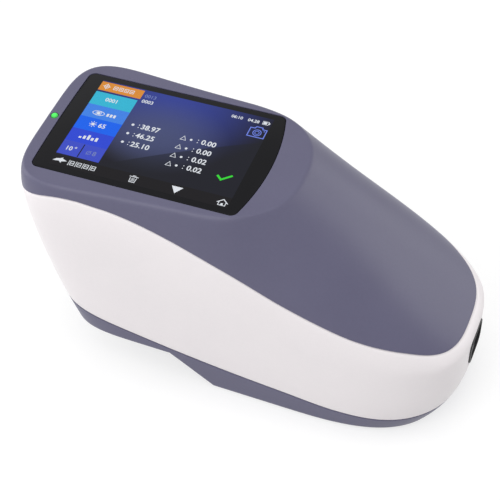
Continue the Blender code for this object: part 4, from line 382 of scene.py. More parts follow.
def carve(made, *cutters):
    """takes the cutters out of a piece and keeps the result as plain mesh"""
    for cutter in cutters:
        step = made.modifiers.new("cut", "BOOLEAN")
        step.operation = "DIFFERENCE"
        step.solver = "EXACT"
        step.object = cutter
    bpy.context.view_layer.update()
    mesh = bpy.data.meshes.new_from_object(made.evaluated_get(bpy.context.evaluated_depsgraph_get()))
    made.modifiers.clear()
    made.data = mesh
    mesh.shade_smooth()
    mesh.set_sharp_from_angle(angle=math.radians(35.0))
    for cutter in cutters:
        bpy.data.objects.remove(cutter, do_unlink=True)
    return made


print("helpers for rings, skins and cuts are ready")

# %% [markdown]
# ## Small shapes
#
# Buttons, frames and windows are outlines with a depth. The outline becomes one face, the face is
# extruded, and a bevel rounds the edges. Turned pieces such as feet and rings come from a spin of their
# half section, which is how a lathe would make them.

# %% Helpers for slabs, bars and turned pieces
SCREEN = Matrix.Translation((SCREEN_X, 0.0, PLATFORM_HEIGHT)) @ Matrix.Rotation(-PLATFORM_TILT, 4, "Y")
UPRIGHT = Matrix.Rotation(math.pi / 2, 4, "X")
ACROSS = Matrix.Rotation(math.pi / 2, 4, "Z") @ UPRIGHT


def rounded_rectangle(length, width, corner, steps=10):
    points = []
    for number, (side_x, side_y) in enumerate(((1, 1), (-1, 1), (-1, -1), (1, -1))):
        for step in range(steps + 1):
            angle = math.pi / 2 * (number + step / steps)
            x = side_x * (length / 2 - corner) + corner * math.cos(angle)
            points.append((x, side_y * (width / 2 - corner) + corner * math.sin(angle)))
    return points


def slab(shape, outline, low, high, place=Matrix(), bevel=0.0, segments=3):
    """an outline with depth along its own Z, put in its place, its long edges rounded"""
    corners = [shape.verts.new((x, y, low)) for x, y in outline]
    for pair in zip(corners, corners[1:] + corners[:1]):
        shape.edges.new(pair)
    face = bmesh.ops.contextual_create(shape, geom=corners)["faces"][0]
    grown = bmesh.ops.extrude_face_region(shape, geom=[face])["geom"]
    far = [item for item in grown if isinstance(item, bmesh.types.BMVert)]
    bmesh.ops.translate(shape, verts=far, vec=(0.0, 0.0, high - low))
    if bevel:
        rims = [edge for edge in shape.edges if all(corner in far for corner in edge.verts)]
        bmesh.ops.bevel(
            shape, geom=rims, offset=bevel, segments=segments, profile=0.5, affect="EDGES", material=-1
        )
    bmesh.ops.transform(shape, matrix=place, verts=shape.verts)
    return shape


def bar(shape, low, high, place=Matrix(), bevel=0.0):
    """a box between two corners with rounded edges"""
    size = [end - start for start, end in zip(low, high)]
    middle = Vector([(start + end) / 2 for start, end in zip(low, high)])
    matrix = place @ Matrix.Translation(middle) @ Matrix.Diagonal((*size, 1.0))
    made = bmesh.ops.create_cube(shape, size=1.0, matrix=matrix)
    if bevel:
        edges = {edge for corner in made["verts"] for edge in corner.link_edges}
        bmesh.ops.bevel(shape, geom=list(edges), offset=bevel, segments=3, profile=0.5, affect="EDGES", material=-1)
    return shape


def lathe(shape, profile, place=Matrix(), steps=96, closed=True):
    """spins a half section of radius and height about Z"""
    corners = [shape.verts.new((radius, 0.0, height)) for radius, height in profile]
    pairs = list(zip(corners, corners[1:])) + ([(corners[-1], corners[0])] if closed else [])
    edges = [shape.edges.new(pair) for pair in pairs]
    bmesh.ops.spin(
        shape, geom=corners + edges, cent=(0.0, 0.0, 0.0), axis=(0.0, 0.0, 1.0), angle=2 * math.pi, steps=steps,
        use_merge=True
    )
    bmesh.ops.remove_doubles(shape, verts=shape.verts, dist=1e-6)
    bmesh.ops.transform(shape, matrix=place, verts=shape.verts)
    return shape


def cutter(shape):
    return finished("cutter", shape, None)


def box_cutter(low, high, place=Matrix()):
    return cutter(bar(bmesh.new(), low, high, place))


def plate_cutter(outline, low, high, place):
    return cutter(slab(bmesh.new(), outline, low, high, place))


def post(radius, low, high, x, y, top=None, steps=64):
    """a straight or tapered cutting rod"""
    shape = bmesh.new()
    place = Matrix.Translation((x, y, (low + high) / 2))
    bmesh.ops.create_cone(
        shape, cap_ends=True, segments=steps, radius1=radius, radius2=top or radius, depth=high - low, matrix=place
    )
    return cutter(shape)


print("helpers for slabs, bars and lathe work are ready")

# %% [markdown]
# ## Dark cover
#
# One moulding makes the screen platform, the soft shoulders and the slope. Its lid is the platform. The
# pocket for the glass has a screen outline with a bowed end, and a small hole lets the light pipe through.

# %% Dark cover with its glass pocket
GLASS_HALF_WIDTH = 0.0277
GLASS_CORNER = 0.0028
TAIL_END, NOSE_END = (0.0446, 0.0006), (0.0455, 0.0043)


def glass_end(reach, bulge, grown, steps=14):
    """one bowed end of the glass, from its near to its far corner"""
    radius = (GLASS_HALF_WIDTH**2 + bulge**2) / (2 * bulge) + grown
    corner = GLASS_CORNER + grown
    side = GLASS_HALF_WIDTH - GLASS_CORNER
    lean = math.asin(side / (radius - corner))
    middle = reach + grown - radius
    centre = middle + (radius - corner) * math.cos(lean)
    points = []
    for sign in (-1, 1):
        arc = []
        for step in range(9):
            angle = sign * (lean + (math.pi / 2 - lean) * step / 8)
            arc.append((centre + corner * math.cos(angle), sign * side + corner * math.sin(angle)))
        if sign < 0:
            points += arc[::-1]
            for step in range(1, steps):
                angle = -lean + 2 * lean * step / steps
                points.append((middle + radius * math.cos(angle), radius * math.sin(angle)))
        else:
            points += arc
    return points


def glass_outline(grown):
    """reach and bulge of each end make the whole outline"""
    return glass_end(*NOSE_END, grown) + [(-x, -y) for x, y in glass_end(*TAIL_END, grown)]


def crease(lines):
    return [[line.at(way) for line in lines] for way in (-1, -0.75, -0.5, -0.25, 0)]


def upper_seam(offset):
    return lambda line: line.seam(UPPER_SEAM, offset)


def lower_seam(offset):
    return lambda line: line.seam(LOWER_SEAM, offset)


cover_rings = [crease(lines) + levels(lines, lambda line: 0.0, upper_seam(SEAM_GAP / 2), count, 1.5)[1:]
               for lines, count in ((outside, 44), (inside, 12))]
dark_cover = skin("dark_cover", *cover_rings, "top_cover", "dark_shell", lid="top", edges=(-1,),
                  edge_width=0.00035)
pocket = plate_cutter(glass_outline(0.0003), -0.0015, 0.002, SCREEN)
window = box_cutter((-0.0382, -0.0257, -0.006), (0.0382, 0.0257, 0.003), SCREEN)
light_hole = cutter(lathe(bmesh.new(), [(0.0, -0.006), (0.0017, -0.006), (0.0017, 0.004), (0.0, 0.004)],
                          SCREEN @ Matrix.Translation((-0.0473, 0.0, 0.0)), 48, False))
carve(dark_cover, pocket, window, light_hole)
print("dark cover has", len(dark_cover.data.polygons), "faces")

# %% [markdown]
# ## White band
#
# The band sweeps from just under the screen down to the nose between two flowing seams. Its upper edge
# has the largest radius of the whole housing, which draws a bright line along the seam.

# %% White band with its openings
band_rings = [levels(lines, upper_seam(-SEAM_GAP / 2), lower_seam(SEAM_GAP / 2), count)
              for lines, count in ((outside, 30), (inside, 8))]
white_band = skin("white_band", *band_rings, "middle_shell", "white_shell", edges=(0, -1), edge_width=0.0010)
panel_hole = plate_cutter(rounded_rectangle(0.0170, 0.0156, 0.0045), 0.0, 0.009,
                          Matrix.Translation((0.0876, 0.0, 0.0335)) @ ACROSS)
key_hole = plate_cutter(rounded_rectangle(0.0207, 0.0097, 0.00484), -0.004, 0.006,
                        Matrix.Translation((0.027, 0.0385, 0.040)) @ UPRIGHT)
carve(white_band, panel_hole, key_hole)
print("white band has", len(white_band.data.polygons), "faces")

# %% [markdown]
# ## Dark tray
#
# The tray closes the bottom. Its nose half is the foot, and behind a slanted step the tall end is raised
# over the measuring nose. It has the door channel, the battery bay, screw sinks and recesses for the feet.

# %% Dark tray
BOTTOM_EDGE_END = 3.0
base_rings = []
for lines, count in ((outside, 14), (inside, 6)):
    walls = levels(lines, lower_seam(-SEAM_GAP / 2), lambda line: 2.0, count)
    rounding = [[line.at(way) for line in lines] for way in (2.2, 2.4, 2.6, 2.8, BOTTOM_EDGE_END)]
    base_rings.append(walls + rounding)
dark_tray = skin("dark_tray", *base_rings, "base_cover", "dark_shell", lid="bottom", edges=(0,), edge_width=0.0003)
print("dark tray has", len(dark_tray.data.polygons), "faces")

# %% Openings of the tray, with the bay and the bosses inside it
SPHERE_X = -0.051
BAY_TAIL, BAY_NOSE, BAY_HALF_WIDTH = 0.0133, 0.0747, 0.0192
CHANNEL_TOP, LEDGE_TOP = 0.0026, 0.0048
LEG_PLACES = ((-0.0655, 0.025), (0.004, 0.0268))
PAD_PLACES = ((0.0125, 0.0285), (0.056, 0.027))
HOOK_SPREAD = 0.0193
legs = [(x, side * spread, underside_height(x)) for x, spread in LEG_PLACES for side in (-1, 1)]
pads = [(x, side * spread) for x, spread in PAD_PLACES for side in (-1, 1)]
openings = [post(0.0129, -0.002, 0.0202, SPHERE_X, 0.0, top=0.0207, steps=96)]
for low, high in (((BAY_TAIL, -BAY_HALF_WIDTH, -0.002), (BAY_NOSE, BAY_HALF_WIDTH, 0.006)),
                  ((-0.0170, -0.0218, -0.002), (0.0758, 0.0218, CHANNEL_TOP)),
                  ((0.0735, -0.0083, 0.0011), (0.0794, 0.0083, 0.0029))):
    openings.append(box_cutter(low, high))
openings += [post(0.0030, low - 0.004, low + 0.006, x, y) for x, y, low in legs]
openings += [post(0.0045, -0.002, 0.0014, x, y) for x, y in pads]


def hook_slots():
    """the two slots in which the hooks of the battery door slide"""
    return [box_cutter((-0.0059, y - 0.0011, 0.0), (0.0049, y + 0.0011, 0.0066))
            for y in (-HOOK_SPREAD, HOOK_SPREAD)]


carve(dark_tray, *openings, *hook_slots())

tray_inside = bmesh.new()
bar(tray_inside, (-0.0099, -0.0226, CHANNEL_TOP), (0.0765, 0.0226, LEDGE_TOP))
bar(tray_inside, (0.0118, -0.0207, 0.0049), (0.0762, 0.0207, 0.0235))
tray_inside = finished("battery_bay", tray_inside, "housing", finish="dark_shell")
bay = box_cutter((BAY_TAIL, -BAY_HALF_WIDTH, 0.0), (BAY_NOSE, BAY_HALF_WIDTH, 0.022))
carve(tray_inside, bay, *hook_slots())
for number, (x, y, low) in enumerate(legs):
    ring = [(0.0017, low + 0.0022), (0.0044, low + 0.0022), (0.0044, low + 0.0062), (0.0017, low + 0.0062)]
    finished(f"screw_boss_{number + 1}", lathe(bmesh.new(), ring, Matrix.Translation((x, y, 0.0)), 48), "housing",
             finish="dark_shell")
print("tray has", len(openings), "openings")

# %% [markdown]
# ## Glass pane
#
# The screen glass is one pane with a bowed end, printed black from behind, and it lies almost level
# with the platform. Its top edge is ground round. A slab with one bevelled rim gives just that.

# %% Glass pane
pane = slab(bmesh.new(), glass_outline(0.0), -0.0012, -0.0001, SCREEN, bevel=0.00025)
pane = finished("glass_pane", pane, "housing", "screen_glass", "black_glass")
print("pane has", len(pane.data.vertices), "corners")

# %% [markdown]
# ## Picture on the screen
#
# The lit picture is a thin sheet with a glowing pattern. Digits and small pictograms lie on it as thin
# shapes, which keeps their edges sharp from any distance. Everything is laid out on a grid of 1120 by
# 750 steps over the lit area. The signs are generic: numbers, a bin, a house, a camera, an eye.

# %% Layout helpers for the screen
LIT_LEFT, LIT_TOP, LIT_LENGTH, LIT_WIDTH = -0.0373, 0.025, 0.0747, 0.050
STEP = LIT_LENGTH / 1120
FIGURE_LOW, FIGURE_HIGH = -0.00006, -0.00003


def spot(column, row):
    return LIT_LEFT + column * STEP, LIT_TOP - row * STEP


def sign(shape, points):
    """a flat sign through points of the grid"""
    extra = slab(bmesh.new(), [spot(*point) for point in points], FIGURE_LOW, FIGURE_HIGH, SCREEN)
    mesh = bpy.data.meshes.new("sign")
    extra.to_mesh(mesh)
    extra.free()
    shape.from_mesh(mesh)
    bpy.data.meshes.remove(mesh)


def block(shape, left, top, right, bottom):
    """a filled rectangle of the grid"""
    sign(shape, [(left, top), (right, top), (right, bottom), (left, bottom)])


def ring_sign(shape, column, row, wide, tall, line, turns=28):
    """an oval ring, drawn as one strip"""
    for number in range(turns):
        angles = [2 * math.pi * (number + part) / turns for part in (0, 1)]
        outer = [(column + wide * math.cos(a), row + tall * math.sin(a)) for a in angles]
        inner = [(column + (wide - line) * math.cos(a), row + (tall - line) * math.sin(a)) for a in angles[::-1]]
        sign(shape, outer + inner)


def disc_sign(shape, column, row, wide, tall, turns=24):
    angles = [2 * math.pi * number / turns for number in range(turns)]
    sign(shape, [(column + wide * math.cos(a), row + tall * math.sin(a)) for a in angles])


def stroke(shape, points, line):
    """straight strokes of one width between points of the grid"""
    for start, end in zip(points, points[1:]):
        start, end = Vector(start), Vector(end)
        along = (end - start).normalized() * line / 2
        side = Vector((-along.y, along.x))
        start, end = start - along, end + along
        sign(shape, [tuple(point) for point in (start + side, end + side, end - side, start - side)])


def frame_line(shape, left, top, right, bottom, line):
    """the outline of a rectangle of the grid"""
    stroke(shape, [(left, top), (right, top), (right, bottom), (left, bottom), (left, top)], line)


def digits(shape, text, column, row, tall, weight=0.0):
    """numbers with their lower left corner on the grid"""
    curve = bpy.data.curves.new("digits", "FONT")
    curve.body = text
    curve.size = tall * STEP * 1.42
    curve.resolution_u = 3
    curve.offset = weight * STEP
    curve.extrude = (FIGURE_HIGH - FIGURE_LOW) / 2
    drawn = bpy.data.objects.new("digits", curve)
    bpy.context.scene.collection.objects.link(drawn)
    bpy.context.view_layer.update()
    mesh = bpy.data.meshes.new_from_object(drawn.evaluated_get(bpy.context.evaluated_depsgraph_get()))
    x, y = spot(column, row)
    mesh.transform(SCREEN @ Matrix.Translation((x, y, (FIGURE_LOW + FIGURE_HIGH) / 2)))
    shape.from_mesh(mesh)
    bpy.data.objects.remove(drawn, do_unlink=True)
    bpy.data.meshes.remove(mesh)


print("one grid step is", round(STEP * 1e6), "micrometres")

# %% Picture sheet and its white figures
low, high = (LIT_LEFT, LIT_TOP - LIT_WIDTH, -0.0001), (LIT_LEFT + LIT_LENGTH, LIT_TOP, -0.00006)
sheet = bar(bmesh.new(), low, high, SCREEN)
sheet = finished("screen_picture", sheet, "housing", finish="screen_picture")

white = bmesh.new()
for row, number in ((318, "38.97"), (393, "46.25"), (468, "25.10")):
    disc_sign(white, 335, row - 18, 9, 9)
    digits(white, number, 388, row, 38, 1.0)
    for dot in (6, 27):
        disc_sign(white, 374, row - dot, 3.4, 3.4, 12)
for row, number in ((325, "0.00"), (400, "0.00"), (473, "0.02"), (545, "0.02")):
    stroke(white, [(650, row - 2), (684, row - 2), (667, row - 34), (650, row - 2)], 3.2)
    disc_sign(white, 715, row - 16, 8, 8)
    digits(white, number, 780, row, 38, 1.0)
    for dot in (6, 27):
        disc_sign(white, 758, row - dot, 3.4, 3.4, 12)
digits(white, "0003", 300, 108, 27, 0.5)
digits(white, "06:10", 865, 57, 23, 0.6)
digits(white, "04.28", 970, 57, 23, 0.6)
digits(white, "10", 34, 612, 32, 0.8)
ring_sign(white, 96, 583, 7, 7, 3)
digits(white, "0001", 84, 166, 30, 0.6)
digits(white, "65", 140, 386, 34, 0.8)
print("white figures have", len(white.verts), "corners so far")

# %% White pictograms
frame_line(white, 1064, 30, 1100, 56, 3)
block(white, 1068, 34, 1090, 52)
block(white, 1102, 37, 1109, 49)
ring_sign(white, 96, 274, 40, 19, 4)
disc_sign(white, 96, 274, 11, 11)
ring_sign(white, 96, 274, 18, 18, 3)
for column in (150, 172, 194):
    block(white, column, 262, column + 14, 286)
disc_sign(white, 104, 370, 11, 11)
for number in range(8):
    angle = math.pi * number / 4
    reach = [(104 + size * math.cos(angle), 370 + size * math.sin(angle)) for size in (16, 23)]
    stroke(white, reach, 3.4)
for column, tall in ((70, 14), (96, 26), (122, 38), (148, 22), (174, 30)):
    block(white, column, 500 - tall, column + 16, 500)
ring_sign(white, 44, 45, 17, 17, 4)
stroke(white, [(44, 22), (44, 68)], 3.4)
stroke(white, [(21, 45), (67, 45)], 3.4)
for column in (92, 128, 164, 200):
    frame_line(white, column, 32, column + 24, 58, 4)
    block(white, column + 7, 42, column + 17, 49)
arrow = [(6, 712), (24, 694), (46, 688), (62, 688), (62, 678), (94, 700), (62, 722), (62, 710), (44, 708), (26, 712)]
sign(white, arrow)
for column in (104, 150, 196, 242):
    stroke(white, [(column + 4, 686), (column + 4, 724)], 4)
    frame_line(white, column + 14, 690, column + 36, 720, 4)
    stroke(white, [(column + 14, 705), (column + 36, 705)], 4)
stroke(white, [(496, 690), (546, 690)], 5)
stroke(white, [(512, 682), (530, 682)], 4)
stroke(white, [(502, 700), (505, 732), (537, 732), (540, 700)], 4.5)
for column in (514, 521, 528):
    stroke(white, [(column, 702), (column, 724)], 3)
sign(white, [(755, 682), (826, 682), (791, 734)])
stroke(white, [(1048, 716), (1079, 690), (1110, 716)], 5.5)
stroke(white, [(1058, 712), (1058, 736), (1100, 736), (1100, 712)], 4.5)
block(white, 1072, 720, 1086, 736)
figures = finished("screen_figures", white, "housing", finish="figures_white")
print("figures done:", len(figures.data.polygons), "faces")

# %% Coloured signs: camera, green tick and dim numbers
blue = bmesh.new()
stroke(blue, [(1010, 100), (1036, 100), (1042, 86), (1080, 86), (1086, 100), (1112, 100), (1112, 170), (1010, 170),
              (1010, 100)], 6)
ring_sign(blue, 1061, 134, 27, 27, 5)
ring_sign(blue, 1061, 134, 15, 15, 4)
disc_sign(blue, 1099, 113, 4, 4, 12)
camera_sign = finished("screen_camera_sign", blue, "housing", finish="figures_blue")
green = bmesh.new()
stroke(green, [(975, 528), (1002, 552), (1052, 508)], 13)
tick_sign = finished("screen_tick", green, "housing", finish="figures_green")
dim = bmesh.new()
digits(dim, "0013", 300, 62, 27, 0.5)
digits(dim, "8", 208, 612, 34, 0.6)
ring_sign(dim, 184, 597, 15, 15, 3.4)
stroke(dim, [(170, 613), (198, 581)], 3.4)
dim_sign = finished("screen_dim_figures", dim, "housing", finish="figures_dim")
print("coloured signs are on the screen")

# %% [markdown]
# ## Light, connector panel and key
#
# The indicator is a moulded light pipe with a small dome. The connector panel is a framed window in the
# nose with a charging socket and a slide switch in its sunken floor. The measuring key is a long pill in
# the far side with a shallow hollow for the finger.

# %% Indicator dome
DOME_RADIUS, DOME_RISE = 0.0014, 0.0004
dome = [(0.0, -0.0041), (0.00135, -0.0041), (0.00138, -0.0002)]
for step in range(10):
    angle = math.pi * step / 20
    dome.append((DOME_RADIUS * math.cos(angle), DOME_RISE * math.sin(angle)))
dome.append((0.0, DOME_RISE))
dome = finished("light_dome", lathe(bmesh.new(), dome, SCREEN @ Matrix.Translation((-0.0473, 0.0, 0.0)), 48, False),
                "housing", "indicator_light", "green_lens", 60.0)
print("dome stands", round(dome.dimensions.z * 1000, 2), "mm tall")

# %% Connector panel
NOSE = Matrix.Translation((0.0, 0.0, 0.0335)) @ ACROSS
panel = slab(bmesh.new(), rounded_rectangle(0.0164, 0.0150, 0.0042), 0.0877, 0.0923, NOSE, bevel=0.0004)
panel = finished("panel_frame", panel, "housing", "port_panel", "black_plastic")
recess = plate_cutter(rounded_rectangle(0.0140, 0.0126, 0.0030), 0.0911, 0.094, NOSE)
socket_hole = Matrix.Translation((0.0, 0.0, 0.0366)) @ ACROSS
socket_hole = plate_cutter(rounded_rectangle(0.0086, 0.0046, 0.0022), 0.086, 0.094, socket_hole)
switch_slot = Matrix.Translation((0.0, 0.0, 0.0307)) @ ACROSS
switch_slot = plate_cutter(rounded_rectangle(0.0080, 0.0030, 0.0007), 0.086, 0.094, switch_slot)
carve(panel, recess, socket_hole, switch_slot)
print("panel frame has", len(panel.data.polygons), "faces")

# %% Measuring key
KEY = Matrix.Translation((0.027, 0.0, 0.040)) @ UPRIGHT
key = rounded_rectangle(0.020, 0.009, 0.00445, 16)
key = slab(bmesh.new(), key, -0.0357, -0.0393, KEY, bevel=0.0009, segments=5)
key = finished("measuring_key", key, "key", "measure_button", "dark_shell")
hollow = bmesh.new()
place = Matrix.Translation((0.027, 0.0393 + 0.0297, 0.040)) @ Matrix.Rotation(math.pi / 2, 4, "Y")
bmesh.ops.create_cone(hollow, cap_ends=True, segments=360, radius1=0.030, radius2=0.030, depth=0.04, matrix=place)
carve(key, cutter(hollow))
print("key is", round(key.dimensions.x * 1000, 1), "mm long")

# %% [markdown]
# ## Turned pieces under the tall end
#
# The measuring nose, its bayonet ring and the rubber feet are round, so each one is a half section spun
# about its axis. The ring sits in the nose with three hundredths of a millimetre to spare.

# %% Measuring nose, aperture ring and feet
bowl = 0.0223
low_angle, high_angle = -math.acos(0.007 / bowl), -math.asin(0.0108 / bowl)
nose_profile = [(0.0222, 0.0202), (0.0222, 0.0182), (0.0194, 0.0182), (0.0130, 0.0010), (0.0127, 0.0003),
                (0.0121, 0.0), (0.0101, 0.0), (0.0098, 0.0003), (0.0098, 0.0012), (0.0111, 0.0012),
                (0.0111, 0.0028), (0.0070, 0.0028)]
for step in range(13):
    angle = low_angle + (high_angle - low_angle) * step / 12
    nose_profile.append((bowl * math.cos(angle), bowl * math.sin(angle) + 0.031))
centre = Matrix.Translation((SPHERE_X, 0.0, 0.0))
nose = lathe(bmesh.new(), nose_profile, centre, 128)
nose = finished("nose_cone", nose, "housing", "measuring_nose", "black_plastic")
entry = centre @ Matrix.Rotation(math.radians(40.0), 4, "Z")
carve(nose, box_cutter((-0.0111, -0.0018, -0.0012), (0.0111, 0.0018, 0.0012), entry))

ring_profile = [(0.0095, 0.0025), (0.0095, 0.0007), (0.00938, 0.00042), (0.0091, 0.0003), (0.0043, 0.0003),
                (0.0040, 0.0006), (0.0040, 0.0009), (0.0055, 0.0025)]
ring = finished("bayonet_ring", lathe(bmesh.new(), ring_profile, centre, 128), "aperture", "aperture_ring",
                "black_plastic")
grips = [box_cutter((-0.0012, y - 0.0016, -0.001), (0.0012, y + 0.0016, 0.0011), centre)
         for y in (-0.0091, 0.0091)]
carve(ring, *grips)
lugs = bmesh.new()
for side in (-1, 1):
    ends = sorted((side * 0.0068, side * 0.0107))
    bar(lugs, (ends[0], -0.0015, 0.0015), (ends[1], 0.0015, 0.0024), centre, bevel=0.0002)
finished("bayonet_lugs", lugs, "aperture", finish="black_plastic")

for number, (x, y) in enumerate(pads):
    pad = [(0.0, 0.0010), (0.0042, 0.0010), (0.0042, 0.0004), (0.0041, 0.00012), (0.0038, 0.0), (0.0030, 0.0),
           (0.0028, 0.0002), (0.0024, 0.0002), (0.0022, 0.0), (0.0, 0.0)]
    finished(f"foot_pad_{number + 1}", lathe(bmesh.new(), pad, Matrix.Translation((x, y, 0.0)), 64, False), "housing",
             f"rubber_foot_{number + 1}", "rubber")
print("turned pieces are in place")

# %% [markdown]
# ## Floor and light
#
# A white floor, four large soft lamps and a pale world: the set of a product photographer. One lamp
# stands low beyond the nose and draws the broad sheen on the slope. The world is white for the camera
# and in mirrors and darker as a light, so that a colour renders about as it is written.

# %% Floor, lamps and world
floor_shape = bmesh.new()
bmesh.ops.create_grid(floor_shape, x_segments=2, y_segments=2, size=3.0)
floor_piece = finished("studio_floor", floor_shape, None)


def lamp(name, place, size, power):
    """a square or oblong soft lamp that looks at the middle of the object"""
    data = bpy.data.lights.new(name, "AREA")
    data.shape = "RECTANGLE"
    data.size, data.size_y = size
    data.energy = power
    made = bpy.data.objects.new(name, data)
    bpy.context.scene.collection.objects.link(made)
    made.location = place
    made.rotation_euler = (Vector((0.0, 0.0, 0.05)) - Vector(place)).to_track_quat("-Z", "Y").to_euler()
    return made


lamp("front_high_lamp", (-0.3, -0.95, 0.85), (0.9, 0.9), 6.0)
lamp("tail_side_lamp", (-1.3, -0.2, 0.5), (0.9, 0.9), 5.4)
lamp("sheen_low_lamp", (0.95, 0.85, 0.42), (0.9, 0.5), 3.6)
lamp("overhead_lamp", (0.0, 0.0, 1.35), (0.9, 0.9), 2.2)

SKY_LEVEL = 0.68
world = bpy.data.worlds.new("studio")
bpy.context.scene.world = world
world.use_nodes = True
nodes = world.node_tree.nodes
background = nodes["Background"]
path = nodes.new("ShaderNodeLightPath")
seen = path.outputs["Is Camera Ray"]
for ray in ("Is Glossy Ray", "Is Transmission Ray"):
    either = nodes.new("ShaderNodeMath")
    either.operation = "MAXIMUM"
    world.node_tree.links.new(seen, either.inputs[0])
    world.node_tree.links.new(path.outputs[ray], either.inputs[1])
    seen = either.outputs[0]
level = nodes.new("ShaderNodeMath")
level.operation = "MULTIPLY_ADD"
world.node_tree.links.new(seen, level.inputs[0])
level.inputs[1].default_value = 1.0 - SKY_LEVEL
level.inputs[2].default_value = SKY_LEVEL
world.node_tree.links.new(level.outputs[0], background.inputs["Strength"])
background.inputs["Color"].default_value = (1.0, 1.0, 1.0, 1.0)
print(len(bpy.data.lights), "lamps and a pale world are set")

# %% [markdown]
# ## Finishes
#
# Every finish is a network of nodes on one Principled shader. Two small classes keep it readable: a
# value joins in Python sums and each sum adds its Math node, and a finish adds any other node by type.

# %% Classes for values and finishes
class Value:
    """a number socket that joins in sums"""

    def __init__(self, finish, socket):
        self.finish, self.socket = finish, socket

    def maths(self, operation, *values):
        return self.finish.node("ShaderNodeMath", {"operation": operation}, dict(enumerate(values)))

    def __add__(self, other):
        return self.maths("ADD", self, other)

    def __sub__(self, other):
        return self.maths("SUBTRACT", self, other)

    def __rsub__(self, other):
        return self.maths("SUBTRACT", other, self)

    def __mul__(self, other):
        return self.maths("MULTIPLY", self, other)

    def __truediv__(self, other):
        return self.maths("DIVIDE", self, other)

    def __pow__(self, other):
        return self.maths("POWER", self, other)

    def __gt__(self, other):
        return self.maths("GREATER_THAN", self, other)

    def __lt__(self, other):
        return self.maths("LESS_THAN", self, other)

    def __abs__(self):
        return self.maths("ABSOLUTE", self)

    __radd__ = __add__
    __rmul__ = __mul__

    def least(self, other):
        return self.maths("MINIMUM", self, other)

    def most(self, other):
        return self.maths("MAXIMUM", self, other)

    def clip(self):
        return self.most(0.0).least(1.0)

    def fraction(self):
        return self.maths("FRACT", self)

    def inside(self, low, high):
        return (self > low) * (self < high)

    def soft(self, low, high):
        """0 below low, 1 above high, smooth between"""
        part = ((self - low) / (high - low)).clip()
        return part * part * (3.0 - part * 2.0)


class Finish:
    """one material with its shader"""

    def __init__(self, name, **constants):
        self.name = name
        self.material = bpy.data.materials.new(name)
        self.material.use_nodes = True
        self.tree = self.material.node_tree
        self.shader = self.tree.nodes["Principled BSDF"]
        self.place = self.node("ShaderNodeTexCoord", {}, {}, "Object")
        self.set(**constants)

    def node(self, kind, settings, inputs, output=0):
        made = self.tree.nodes.new(kind)
        for key, value in settings.items():
            setattr(made, key, value)
        for key, value in inputs.items():
            if isinstance(value, Value):
                self.tree.links.new(value.socket, made.inputs[key])
            else:
                made.inputs[key].default_value = value
        return Value(self, made.outputs[output])

    def set(self, **sockets):
        """constants and links on the shader's sockets; a low line stands for a space"""
        for key, value in sockets.items():
            socket = self.shader.inputs[key.replace("_", " ").title().replace("Ior", "IOR")]
            if isinstance(value, Value):
                self.tree.links.new(value.socket, socket)
            elif isinstance(value, tuple) and len(value) == 3:
                socket.default_value = (*value, 1.0)
            else:
                socket.default_value = value

    def mapped(self, location=(0.0, 0.0, 0.0), rotation=(0.0, 0.0, 0.0), scale=(1.0, 1.0, 1.0)):
        inputs = {"Vector": self.place, "Location": location, "Rotation": rotation, "Scale": scale}
        return self.node("ShaderNodeMapping", {}, inputs)

    def axes(self, vector=None):
        split = self.node("ShaderNodeSeparateXYZ", {}, {0: vector or self.place})
        outputs = split.socket.node.outputs
        return [Value(self, outputs[number]) for number in range(3)]

    def noise(self, scale, detail=2.0, roughness=0.5, vector=None):
        inputs = {"Vector": vector or self.place, "Scale": scale, "Detail": detail, "Roughness": roughness}
        return self.node("ShaderNodeTexNoise", {}, inputs)

    def mix(self, factor, first, second):
        """from the first colour to the second"""
        colours = [value if isinstance(value, Value) else (*value, 1.0) for value in (first, second)]
        return self.node("ShaderNodeMix", {"data_type": "RGBA"}, {0: factor, 6: colours[0], 7: colours[1]}, 2)

    def bump(self, height, distance):
        sockets = {"Height": height, "Distance": distance, "Strength": 1.0}
        self.set(normal=self.node("ShaderNodeBump", {}, sockets))


print("classes for finishes are ready")

# %% [markdown]
# Both mouldings are spark eroded plastic: a satin skin with a grain finer than a third of a millimetre.
# The grain is a bump, and slow noise moves colour and gloss a little, as real mouldings do.

# %% Moulded shells
def moulding(name, light, dark, roughness, grain):
    made = Finish(name, ior=1.42)
    slow = made.noise(28.0, 3.0)
    fine = made.noise(2600.0, 2.0, 0.6)
    fleck = made.noise(900.0, 2.0)
    made.set(base_color=made.mix((slow * 0.7 + fleck * 0.3).soft(0.30, 0.70), dark, light))
    made.set(roughness=roughness - 0.05 + fine * 0.06 + slow * 0.04)
    made.bump(fine + fleck * 0.4, grain)
    return made


dark_shell = moulding("dark_shell", (0.110, 0.106, 0.174), (0.101, 0.097, 0.162), 0.40, 0.000012)
white_shell = moulding("white_shell", (0.845, 0.803, 0.818), (0.822, 0.781, 0.798), 0.34, 0.000008)
black_plastic = moulding("black_plastic", (0.020, 0.020, 0.023), (0.012, 0.012, 0.014), 0.46, 0.000015)
print("three mouldings")

# %% [markdown]
# The pane is black glass with faint smears, so its gloss is not quite even. The picture is laid out in
# shares of the lit area: a column of tiles, a header, a black strip below, and a blue glow, which a painted
# shadow with a faint curved edge darkens across part of the screen. Each colour patch is a mask made of
# four comparisons.

# %% Glass and picture
COATED_IOR = 1.22
glass = Finish("black_glass", ior=COATED_IOR)
smear = glass.noise(60.0, 4.0, 0.6)
glass.set(roughness=0.05 + smear.soft(0.45, 0.75) * 0.07)
glass.set(base_color=glass.mix(smear, (0.004, 0.004, 0.005), (0.007, 0.007, 0.009)))

picture = Finish("screen_picture", base_color=(0.004, 0.004, 0.006), roughness=0.07, ior=COATED_IOR,
                 emission_strength=1.0)
x, y, _ = picture.axes()
across = (x - (SCREEN_X + LIT_LEFT)) / LIT_LENGTH
down = (LIT_TOP - y) / LIT_WIDTH


